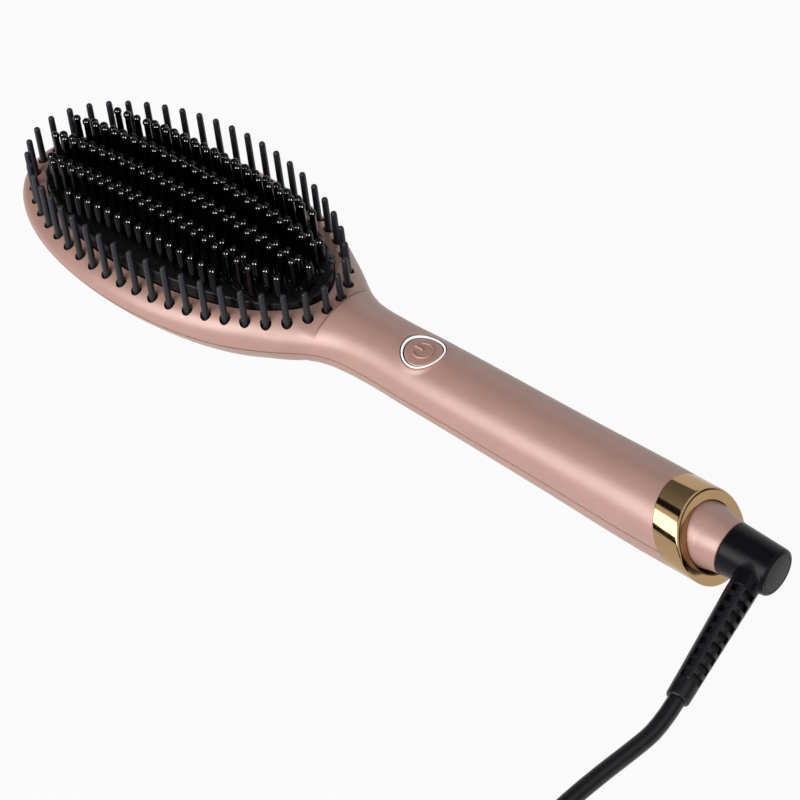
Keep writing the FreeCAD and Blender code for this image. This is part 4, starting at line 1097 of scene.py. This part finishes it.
    def plate_shell(self) -> Shell:
        """Plate: rings of an ellipse on the crown, a rounded edge, a side wall and a flat underside.

        Returns:
            Closed shell.
        """
        edge, fall = np.array(self.rim).T
        share = np.concatenate([np.linspace(0, self.crown_share, self.plate_rows), edge])
        drop = np.concatenate([np.zeros(self.plate_rows), fall])
        cosine, sine = circle(self.oval_segments)
        x = self.head_x + self.plate[0] * share[:, None] * cosine
        y = self.plate[1] * share[:, None] * sine
        z = np.maximum(self.dome(x, y) - drop[:, None], self.plate_low)
        return lattice(np.stack([x, y, z], -1), wrap_columns=True)

    def rail_shell(self, number: int) -> Shell:
        """Rail of a row of ball pins: a low rounded bar that follows the crown.

        Args:
            number: Row number.

        Returns:
            Closed shell.
        """
        half = self.pitch * len(self.row(number)) / 2
        x = np.linspace(self.head_x - half, self.head_x + half, self.rail_rows)[:, None]
        across = np.array([-1.0, -1.0, -self.rail_flat, self.rail_flat, 1.0, 1.0]) * self.rail_half
        edge = self.rail_rise - self.rail_edge
        rise = np.array([-self.rail_sink, edge, self.rail_rise, self.rail_rise, edge, -self.rail_sink])
        y = number * self.row_pitch + across
        z = self.dome(x, y) + rise
        return tube(np.stack([np.broadcast_to(x, z.shape), np.broadcast_to(y, z.shape), z], -1))

    def frame_shell(self) -> Shell:
        """Frame of the outer pins: a flat rounded section carried round the pins' oval, under the cover.

        Returns:
            Closed shell.
        """
        low, high, half = self.frame_low, self.frame_low + self.frame_thick, self.frame_half
        section = softened([(-half, low), (half, low), (half, high), (-half, high)], self.frame_corner, 4)
        cosine, sine = circle(self.oval_segments)
        reach = section[:, :1] + self.outer_offset
        x = self.head_x + (self.plate[0] + reach) * cosine
        y = (self.plate[1] + reach) * sine
        z = np.broadcast_to(section[:, 1:], x.shape)
        return lattice(np.stack([x, y, z], -1), wrap_rows=True, wrap_columns=True)

    def build(self) -> list[Object]:
        """Build and dress the plate, all pins and the outlet.

        Returns:
            The black pins.
        """
        plate = mesh_object("heated_plate", self.plate_shell())
        dress(plate, BLACK_COAT, Body.CASING, "black_coat", "heater_plate")
        feet = np.concatenate([self.row(number) for number in (-4, -2, 0, 2, 4)])
        ground = self.dome(*feet.T)
        rings = self.tip_rings(self.pin_radius, self.pin_radius * self.pin_flare, self.dome_angles)
        pins = mesh_object("heated_pins", self.planted(feet, ground - self.pin_sink, ground + self.pin_height, rings))
        black = [dress(pins, BLACK_PIN, Body.CASING, "black_coat")]
        neck = -math.degrees(math.acos(self.stem_radius / self.ball_radius))
        rings = self.tip_rings(self.ball_radius, self.stem_radius * self.stem_flare, (neck, *self.ball_angles))
        for index, number in enumerate((-3, -1, 1, 3), start=1):
            feet = self.row(number)
            ground = self.dome(*feet.T)
            balls = self.planted(feet, ground - self.ball_sink, ground + self.ball_height, rings)
            strip = mesh_object("ball_pin_strip_%d" % index, joined(self.rail_shell(number), balls))
            black.append(dress(strip, BLACK_PIN, Body.CASING, "black_bristle", "ball_strip_%d" % index))
        feet = self.outer_feet()
        tips = self.outer_tip - (feet[:, 0] - self.head_x) ** 2 / self.outer_curve
        rings = self.tip_rings(self.outer_radius, self.outer_radius * self.outer_flare, self.dome_angles)
        pins = self.planted(feet, np.full(len(feet), self.frame_low + self.outer_rise), tips, rings)
        outer = mesh_object("outer_pins", joined(self.frame_shell(), pins))
        dress(outer, GREY_PIN, Body.CASING, "grey_bristle", "outer_bristle_frame")
        profile = np.array(self.outlet_profile) + [float(self.dome(*np.array(self.outlet))), 0.0]
        outlet = mesh_object("ion_outlet_ring", turned(profile, Axis.UPRIGHT, 40, self.outlet))
        dress(outlet, OUTLET, Body.CASING, "outlet", "ion_outlet")
        return black


@dataclass
class EndBand:
    """Slanted gold band and the rose nose that comes through it."""

    face_x: float = 129.0
    run: float = 9.44
    radius: float = 14.1
    bore: float = 10.42
    corners: tuple[float, ...] = (0.15, 0.25, 0.9, 0.5)
    sharp: float = 50.0
    nose_keys: Keys = ((121.0, 10.3), (128.6, 10.2), (130.0, 9.75), (132.0, 9.2), (134.0, 8.8), (135.8, 8.6))
    nose_rest: Keys = ((136.0, 8.4), (136.0, 6.6), (104.0, 6.6), (104.0, 11.4), (107.0, 11.4), (107.0, 10.3))

    def band_shell(self) -> Shell:
        """Band: x = face_x - run + f - slant r sin(angle), for a rounded section in f and r.

        Returns:
            Closed shell.
        """
        section = softened([(0.0, self.bore), (0.0, self.radius), (self.run, self.radius), (self.run, self.bore)],
                           self.corners, 7)
        cosine, sine = circle(160)
        radius = section[:, 1:]
        x = self.face_x - self.run + section[:, :1] - SLANT * radius * sine
        return lattice(np.stack([x, radius * cosine, AXIS_Z + radius * sine], -1), wrap_rows=True, wrap_columns=True)

    def nose_shell(self) -> Shell:
        """Nose: bell-mouthed sleeve turned about the handle's axis.

        Returns:
            Closed shell.
        """
        x = np.linspace(self.nose_keys[0][0], self.nose_keys[-1][0], 28)
        outside = np.stack([x, SteadyCurve(self.nose_keys)(x)], -1)
        return turned(np.concatenate([outside, self.nose_rest]), Axis.ALONG, 120, closed=True)

    def build(self) -> None:
        """Build and dress the band and the nose."""
        band = mesh_object("gold_end_band", self.band_shell(), self.sharp)
        dress(band, GOLD, Body.CASING, "gold_band", "end_ring")
        dress(mesh_object("rose_nose", self.nose_shell()), ROSE, Body.CASING, "rose_casing", "swivel_nose")


@dataclass
class PowerButton:
    """Power button with its sign, the light ring round it and dark lips of painted gap shade, all bent to the handle's
    skin.
    """

    middle: Pair = (16.2, 0.0)
    radius: float = 6.1
    top: float = 26.55
    low: float = 22.2
    bend_depth: float = 0.9
    stem: Pair = (21.2, 1.6)
    dish: Keys = ((1.0, 0.0), (0.7, 0.05), (0.4, 0.1), (0.0, 0.12))
    cap_corners: tuple[float, ...] = (0.0, 0.1, 0.1, 0.2, 0.5, 0.5, 0.5, 0.0)
    ring_inner: float = 6.55
    ring_outer: float = 7.1
    ring_top: float = 27.0
    ring_drop: float = 0.12
    ring_foot: Spot = (21.0, 22.0, 0.2)
    ring_corners: tuple[float, ...] = (0.1, 0.1, 0.1, 0.1, 0.15, 0.15)
    # Dark lips of painted shade in the gaps inside and outside the light ring.
    gap_shade_low: float = 23.6
    gap_shade_inner: Spot = (6.15, 6.56, 26.25)
    gap_shade_outer: Spot = (7.09, 7.44, 26.8)
    gap_shade_corner: float = 0.08
    sign_radius: float = 3.2
    sign_gap: float = 38.0
    sign_bar: Pair = (-3.4, 0.2)
    sign_width: float = 0.42
    sign_rise: float = 0.5
    sign_sink: Pair = (0.1, 0.3)
    sign_end: int = 40

    def bent(self, shell: Shell) -> Shell:
        """Shell let down with the skin: z + step(z) * (skin(x, y) - skin(middle)), step from 0 at low to 1 above.

        Args:
            shell: Shell made on the flat.

        Returns:
            Bent shell.
        """
        casing = Casing()
        x, y, z = shell.points.T
        fall = casing.skin(x, y) - casing.skin(np.full(1, self.middle[0]), np.full(1, self.middle[1]))
        step = smooth_step(z, self.low, self.top - self.bend_depth)
        return Shell(np.stack([x, y, z + step * fall], -1), shell.blocks)

    def cap_shell(self) -> Shell:
        """Cap: slightly dished disc with a rounded edge, on a stem.

        Returns:
            Closed shell.
        """
        foot, stem = self.stem
        dish = [(self.top - drop, self.radius * share) for share, drop in self.dish]
        profile = softened([(foot, 0.0), (foot, stem), (self.low, stem), (self.low, self.radius), *dish],
                           self.cap_corners, 6, False)
        return self.bent(turned(profile, Axis.UPRIGHT, 96, self.middle))

    def ring_shell(self) -> Shell:
        """Light ring: a band whose top slopes up to its outer edge, with a foot under the cover.

        Returns:
            Closed shell.
        """
        low, high, wider = self.ring_foot
        inner, outer = self.ring_inner, self.ring_outer
        profile = softened([(low, inner), (low, outer + wider), (high, outer + wider), (high, outer),
                            (self.ring_top, outer), (self.ring_top - self.ring_drop, inner)], self.ring_corners, 4)
        return self.bent(turned(profile, Axis.UPRIGHT, 96, self.middle, True))

    def gap_shade_shell(self) -> Shell:
        """Painted gap shade: two thin dark lips, one inside and one outside the light ring, each a turned rounded
        section.

        Returns:
            Closed shell.
        """
        low = self.gap_shade_low
        lips = [softened([(low, near), (low, far), (high, far), (high, near)], self.gap_shade_corner, 3)
                for near, far, high in (self.gap_shade_inner, self.gap_shade_outer)]
        return self.bent(joined(*[turned(lip, Axis.UPRIGHT, 96, self.middle, True) for lip in lips]))

    def sign_line(self, path: Array) -> Shell:
        """Low ridge of half-round section along a flat path, closed at its ends.

        Args:
            path: Points in X and Y.

        Returns:
            Closed shell.
        """
        heading = np.gradient(path, axis=0)
        heading /= np.linalg.norm(heading, axis=1, keepdims=True)
        beside = np.stack([-heading[:, 1], heading[:, 0]], -1)
        turn = np.linspace(0, math.pi, 7)
        taper = np.sqrt(np.clip(1 - np.linspace(-1, 1, len(path)) ** self.sign_end, 0, 1))[:, None]
        flat = path[:, None] + beside[:, None] * (np.cos(turn)[None] * self.sign_width * taper)[..., None]
        ground = np.full(flat.shape[:2], self.top - self.sign_sink[0])
        rise = ground + np.sin(turn)[None] * self.sign_rise * taper
        under = np.stack([flat[:, [-1, 0], 0], flat[:, [-1, 0], 1], ground[:, [-1, 0]] - self.sign_sink[1]], -1)
        return tube(np.concatenate([np.concatenate([flat, rise[..., None]], -1), under], 1))

    def build(self) -> None:
        """Build and dress the cap, its sign, the light ring and the dark lips of painted gap shade."""
        cap = mesh_object("power_button_cap", self.cap_shell())
        dress(cap, ROSE_KEY, Body.BUTTON, "rose_casing", "button_cap")
        angle = np.radians(180.0 + np.linspace(self.sign_gap, 360.0 - self.sign_gap, 60))
        arc = np.array(self.middle) + self.sign_radius * np.stack([np.cos(angle), np.sin(angle)], -1)
        x = np.linspace(*self.sign_bar, 24) + self.middle[0]
        bar = np.stack([x, np.zeros_like(x)], -1)
        sign = mesh_object("power_sign", self.bent(joined(self.sign_line(arc), self.sign_line(bar))))
        dress(sign, ROSE_KEY, Body.BUTTON, "rose_casing")
        # The ring's glow is painted light that keeps it white.
        ring = mesh_object("light_ring", self.ring_shell())
        dress(ring, LIGHT, Body.CASING, "light_guide", "button_light_ring")
        # Dark lips that paint the shade in the gaps round the light ring.
        dress(mesh_object("button_gap_shade", self.gap_shade_shell()), GAP_SHADE, Body.CASING, "black_part")


@dataclass
class Connector:
    """Turning connector with its stem, its end cap and the slotted strain relief."""

    start_x: float = 136.3
    end_x: float = 153.3
    start_radius: float = 8.5
    end_radius: float = 7.7
    drum_corners: tuple[float, ...] = (0.0, 0.3, 0.0, 0.35, 1.6, 0.12, 0.0, 0.0)
    cap_radius: float = 6.1
    cap_gap: float = 0.15
    cap_seat: float = 0.5
    cap_sink: float = 0.05
    cap_thick: float = 0.4
    cap_corners: tuple[float, ...] = (0.0, 0.05, 0.15, 0.0)
    spindle: Pair = (85.3, 4.9)
    stem_root: Spot = (146.6, 0.0, 15.6)
    stem_out: Spot = (0.1344, -0.9680, -0.2118)
    stem_radius: float = 4.65
    stem_reach: float = 11.5
    stem_sink: float = 0.4
    stem_heart: Pair = (2.0, 0.7)
    stem_tip: Pair = (0.2, 0.96)
    saddle_shift: float = 1.0
    fillet: float = 1.1
    relief_length: float = 39.8
    relief_radii: Pair = (4.7, 3.75)
    relief_collar: Keys = ((6.6, 0.12), (6.4, -0.1), (6.2, 0.15), (0.0, 0.0))
    relief_corners: tuple[float, ...] = (0.0, 0.4, 0.1, 0.1, 0.1, 0.9, 0.0)
    slots: int = 9
    slot_first: float = 1.6
    slot_pitch: float = 3.85
    slot_axial: float = 1.15
    slot_floor: float = 2.9
    slot_depth: float = 3.0
    slot_columns: Keys = ((33.0, 2.2), (101.0, 1.1), (213.0, 2.2), (281.0, 1.1))
    segments: int = 72

    def spokes(self) -> Array:
        """Two directions square to the stem and the stem's own direction.

        Returns:
            Rows side, up and out.
        """
        out = np.array(self.stem_out) / np.linalg.norm(self.stem_out)
        side = np.cross(out, [0.0, 0.0, 1.0])
        side = -side / np.linalg.norm(side)
        return np.stack([side, np.cross(out, side), out])

    def ring(self) -> Array:
        """Directions all round the stem.

        Returns:
            Unit vectors, segments by 3.
        """
        side, up, _ = self.spokes()
        cosine, sine = circle(self.segments)
        return cosine[:, None] * side + sine[:, None] * up

    def relief_start(self) -> Array:
        """Place on the stem's line where the relief begins."""
        return np.array(self.stem_root) + self.spokes()[2] * self.stem_reach

    def body_shell(self) -> Shell:
        """Body: tapered drum with a rounded end and a seat for the cap, on its spindle.

        Returns:
            Closed shell.
        """
        tail, radius = self.spindle
        seat, floor = self.cap_radius + self.cap_gap, self.end_x - self.cap_seat
        profile = softened([(tail, 0.0), (tail, radius), (self.start_x, radius), (self.start_x, self.start_radius),
                            (self.end_x, self.end_radius), (self.end_x, seat), (floor, seat), (floor, 0.0)],
                           self.drum_corners, 8, False)
        return turned(profile, Axis.ALONG, 120)

    def stem_shell(self) -> Shell:
        """Stem: rings at rising heights h over the drum, of radius stem + f - sqrt(f^2 - (f - h)^2) in the fillet f.

        Each point lies where its line along the stem has that height: the positive root a of
        |q + a out|^2 = (drum + h)^2, with q and out seen along the drum's axis.

        Returns:
            Closed shell.
        """
        out, ring, root = self.spokes()[2], self.ring(), np.array(self.stem_root)
        height = np.concatenate([[-self.stem_sink], self.fillet * (1 - np.cos(np.linspace(0, math.pi / 2, 9)))])
        rest = np.maximum(self.fillet - height, 0)
        flare = self.fillet - np.sqrt(np.maximum(self.fillet ** 2 - rest ** 2, 0))
        flare[0] = self.fillet
        foot = root + (self.stem_radius + flare)[:, None, None] * ring
        taper = (self.end_radius - self.start_radius) / (self.end_x - self.start_x)
        drum = self.start_radius + taper * (foot[..., 0] + self.saddle_shift - self.start_x) + height[:, None]
        across = foot[..., 1:] - np.array([0.0, AXIS_Z])
        square = out[1] ** 2 + out[2] ** 2
        half = across @ out[1:]
        inside = np.maximum(half ** 2 - square * (np.sum(across ** 2, -1) - drum ** 2), 0)
        along = (np.sqrt(inside) - half) / square
        saddle = foot + along[..., None] * out
        deep, slim = self.stem_heart
        edge, narrow = self.stem_tip
        reach = np.array([deep, self.stem_reach - edge, self.stem_reach])[:, None, None]
        share = np.array([slim, 1.0, narrow])[:, None, None]
        plain = root + reach * out + share * self.stem_radius * ring
        return tube(np.concatenate([plain[:1], saddle, plain[1:]]))

    def relief_shell(self) -> Shell:
        """Relief: tapered sleeve with a plain collar and a rounded lip at the cord end.

        Returns:
            Closed shell.
        """
        (first, last), length = self.relief_radii, self.relief_length
        collar = [(length - back, last + swell) for back, swell in self.relief_collar]
        profile = softened([(0.0, 0.0), (0.0, first), *collar, (length, 0.0)], self.relief_corners, 6, False)
        line = self.relief_start() + profile[:, :1, None] * self.spokes()[2]
        return lattice(line + profile[:, 1:, None] * self.ring(), wrap_columns=True)

    def slot_shell(self) -> Shell:
        """Slots: blocks in four columns round the sleeve, at one pitch along it.

        Returns:
            Closed shells of all blocks.
        """
        side, up, out = self.spokes()
        along = self.slot_first + self.slot_pitch * np.arange(self.slots)
        facing, half = np.array(self.slot_columns).T
        facing = np.radians(facing)
        away = np.cos(facing)[:, None] * side + np.sin(facing)[:, None] * up
        beside = np.cross(out, away)
        corner = np.array([(i, j, k) for i in (0, 1) for j in (-1, 1) for k in (-1, 1)], float)
        depth = self.slot_floor + corner[:, 0] * self.slot_depth
        block = (depth[None, :, None] * away[:, None] + (half[:, None] * corner[:, 1])[..., None] * beside[:, None]
                 + (corner[:, 2] * self.slot_axial)[None, :, None] * out)
        points = self.relief_start() + along[:, None, None, None] * out + block[None]
        faces = np.array([(0, 1, 3, 2), (4, 6, 7, 5), (0, 4, 5, 1), (2, 3, 7, 6), (0, 2, 6, 4), (1, 5, 7, 3)])
        base = np.arange(points[..., 0].size // 8)[:, None, None] * 8
        return Shell(points.reshape(-1, 3), ((base + faces).reshape(-1, 4),))

    def build(self) -> Object:
        """Build and dress the connector, its cap and the relief.

        Returns:
            The relief, which the cord leaves.
        """
        body = mesh_object("connector_drum", self.body_shell())
        carve(body, self.stem_shell(), "UNION")
        dress(body, CONNECTOR, Body.SWIVEL, "connector", "connector_body")
        face = self.end_x - self.cap_sink
        back, radius = face - self.cap_thick, self.cap_radius
        profile = softened([(back, 0.0), (back, radius), (face, radius), (face, 0.0)], self.cap_corners, 5, False)
        cap = mesh_object("connector_end_disc", turned(profile, Axis.ALONG, 96))
        dress(cap, CONNECTOR, Body.SWIVEL, "connector", "connector_cap")
        relief = mesh_object("slotted_relief", self.relief_shell())
        carve(relief, self.slot_shell())
        return dress(relief, RUBBER, Body.SWIVEL, "cord_rubber", "strain_relief")


@dataclass
class MainsCord:
    """Cord from the relief to its coil, the strap round the coil, and the plug."""

    diameter: float = 5.5
    route: tuple[Spot, ...] = (
        (153.5, -49.72, 4.72), (154.78, -59.55, 2.75), (153.47, -70.72, 2.75), (151.67, -82.72, 2.75),
        (150.27, -95.72, 2.75), (149.77, -109.72, 2.75), (150.27, -119.72, 3.6), (150.27, -127.72, 3.6))
    coil_middle: Pair = (186.87, -132.72)
    coil_radius: float = 36.6
    coil_half_turns: int = 6
    last_turn: int = 20
    half_step: float = 2.8
    coil_height: float = 3.6
    layer: float = 5.6
    rise: float = 8.3
    points_per_half: int = 12
    length: float = 1.86
    plug_start: Spot = (167.07, -134.72, 23.1)
    plug_length: float = 36.0
    plug_edges: Spot = (0.6, 1.2, 0.4)
    plug_width: Keys = ((0.0, 3.9), (1.0, 4.5), (9.0, 5.7), (20.0, 12.6), (26.0, 13.0), (34.8, 13.0), (36.0, 12.0))
    plug_thick: Keys = ((0.0, 3.6), (1.0, 4.1), (9.0, 4.4), (20.0, 5.5), (34.8, 5.5), (36.0, 4.5))
    pin_spacing: float = 9.3
    pin_radius: float = 2.0
    pin_length: float = 19.0
    pin_root: float = 1.0
    pin_tip: float = 1.3
    strap_low: Spot = (182.87, -172.92, 0.0)
    strap_high: Spot = (190.87, -146.82, 18.4)
    strap_thick: float = 0.8
    strap_corners: Pair = (1.6, 0.25)

    def coil_points(self) -> Array:
        """Turns of the coil by half turns t, in three layers: inwards, outwards and inwards, then up to the plug.

        The radius changes by half_step each half turn. Between two layers it swings by half_step * s (1 - s), with
        s the share of that half turn.

        Returns:
            Points of the coil.
        """
        n = self.coil_half_turns
        turn = np.linspace(0, self.last_turn, self.last_turn * self.points_per_half + 1)
        first, second = turn - n, turn - 2 * n - 1
        narrow = self.coil_radius - self.half_step * n
        radius = np.select(
            [first <= 0, first < 1, second <= 0, second < 1],
            [self.coil_radius - self.half_step * turn, narrow - self.half_step * first * (1 - first),
             narrow + self.half_step * (first - 1), self.coil_radius + self.half_step * second * (1 - second)],
            self.coil_radius - self.half_step * (second - 1))
        layers = smooth_step(first, 0, 1) + smooth_step(second, 0, 1)
        lift = self.rise * smooth_step(turn, self.last_turn - 1, self.last_turn)
        height = self.coil_height + self.layer * layers + lift
        angle = math.pi * (1 + turn)
        return np.stack([self.coil_middle[0] + radius * np.cos(angle), self.coil_middle[1] + radius * np.sin(angle),
                         height], -1)

    def cord(self) -> Object:
        """Cord: one open smooth spline through the route and the coil's turns.

        Returns:
            The curve object.
        """
        points = np.concatenate([np.array(self.route), self.coil_points(), np.array([self.plug_start])]) * MM
        curve = bpy.data.curves.new("mains_cord", "CURVE")
        curve.dimensions = "3D"
        curve.bevel_depth = self.diameter / 2 * MM
        curve.bevel_resolution = 5
        curve.resolution_u = 4
        curve.use_fill_caps = True
        spline = curve.splines.new("NURBS")
        spline.points.add(len(points) - 1)
        spline.points.foreach_set("co", np.concatenate([points, np.ones((len(points), 1))], 1).ravel())
        spline.order_u = 3
        spline.use_endpoint_u = True
        return linked("mains_cord", curve)

    def plug_shell(self) -> Shell:
        """Plug: rounded flat sections that widen from the cord to the face, (|x|/w)^4 + (|z|/h)^4 = 1.

        Returns:
            Closed shell.
        """
        first, last, edge = self.plug_edges
        end = self.plug_length
        along = np.concatenate([[0.0, 0.0], np.linspace(first, end - last, 36), [end - edge, end, end]])
        width, thick = SteadyCurve(self.plug_width)(along), SteadyCurve(self.plug_thick)(along)
        width[[0, -1]] = 0.0
        thick[[0, -1]] = 0.0
        wave = circle(72)
        across, upright = np.sign(wave) * np.sqrt(np.abs(wave))
        x = self.plug_start[0] + width[:, None] * across
        z = self.plug_start[2] + thick[:, None] * upright
        y = np.broadcast_to(self.plug_start[1] - along[:, None], x.shape)
        return lattice(np.stack([x, y, z], -1), wrap_columns=True)

    def pin_shell(self, side: float) -> Shell:
        """Plug pin: turned rod with a rounded tip.

        Args:
            side: -1 or +1 for the two pins.

        Returns:
            Closed shell.
        """
        x, y, z = self.plug_start
        r, face = self.pin_radius, y - self.plug_length
        root, end = face + self.pin_root, face - self.pin_length
        profile = softened([(root, 0.0), (root, r), (end, r), (end, 0.0)], [0.0, 0.0, self.pin_tip, 0.0], 7, False)
        return turned(profile, Axis.ACROSS, 40, (x + side * self.pin_spacing, z))

    def strap_shell(self) -> Shell:
        """Strap: rounded band round the pile, a thin rounded section carried along a rounded rectangle.

        Returns:
            Closed shell.
        """
        half = self.strap_thick / 2
        (left, *low), (right, *high) = self.strap_low, self.strap_high
        near, far = np.array(low) + half, np.array(high) - half
        loop = softened([(near[0], near[1]), (far[0], near[1]), (far[0], far[1]), (near[0], far[1])],
                        self.strap_corners[0], 9)
        heading = np.roll(loop, -1, 0) - np.roll(loop, 1, 0)
        heading /= np.linalg.norm(heading, axis=1, keepdims=True)
        outward = np.stack([heading[:, 1], -heading[:, 0]], -1)
        section = softened([(left, -half), (left, half), (right, half), (right, -half)], self.strap_corners[1], 4)
        flat = loop[:, None] + outward[:, None] * section[None, :, 1:]
        x = np.broadcast_to(section[None, :, :1], flat.shape[:2] + (1,))
        return lattice(np.concatenate([x, flat], -1), wrap_rows=True, wrap_columns=True)

    def build(self, relief: Object) -> None:
        """Build and dress the cord, the plug, its pins and the strap.

        Args:
            relief: Strain relief that the cord leaves; not used.
        """
        cord = dress(self.cord(), RUBBER, Body.SWIVEL, "cord_rubber", "cord", "cord_coil")
        plug = dress(mesh_object("mains_plug", self.plug_shell()), RUBBER, Body.SWIVEL, "cord_rubber", "plug_body")
        pins = mesh_object("mains_plug_pins", joined(self.pin_shell(-1.0), self.pin_shell(1.0)))
        dress(pins, NICKEL, Body.SWIVEL, "contact", "plug_pins")
        strap = dress(mesh_object("coil_strap", self.strap_shell()), STRAP, Body.SWIVEL, "strap", "coil_tie")


@dataclass
class InnerParts:
    """CAD pieces inside the handle and head that keep their own meshes."""

    finishes: tuple[tuple[Finish, tuple[str, ...]], ...] = (
        (CERAMIC, ("ceramic_heater_1", "ceramic_heater_2")), (MICA, ("insulation_sheet",)),
        (STEEL, ("heater_clamp", "heat_shield", "shield_spacers", "heater_screws", "board_screws", "retaining_clip")),
        (EPOXY, ("thermistor",)), (NICKEL, ("thermal_fuse",)), (LIGHT, ("status_leds",)), (BOARD, ("control_board",)),
        (WIRE, ("film_capacitor", "heater_leads", "sensor_lead", "mains_leads", "swivel_leads")),
        (BLACK_PART, ("ioniser_module", "switch_body", "triac", "piezo_buzzer")),
        (WHITE_PART, ("switch_plunger", "contact_block", "swivel_bush")),
        (COPPER, ("contact_brush_live", "contact_brush_neutral", "slip_ring_live", "slip_ring_neutral")))

    def build(self) -> None:
        """Give every kept CAD piece its finish."""
        for finish, names in self.finishes:
            for name in names:
                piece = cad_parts[name]
                piece.data.materials.clear()
                piece.data.materials.append(finish.material())
                LOG.info("%s: dressed as %s", name, finish.name)


def main() -> None:
    """Build the studio and every sub-assembly in order."""
    logging.basicConfig(level=logging.INFO, format="%(message)s")
    studio = Studio()
    studio.build()
    relief = Connector().build()
    MainsCord().build(relief)
    Casing().build()
    EndBand().build()
    studio.glints(Bristles().build())
    PowerButton().build()
    InnerParts().build()


if __name__ == "__main__":
    main()
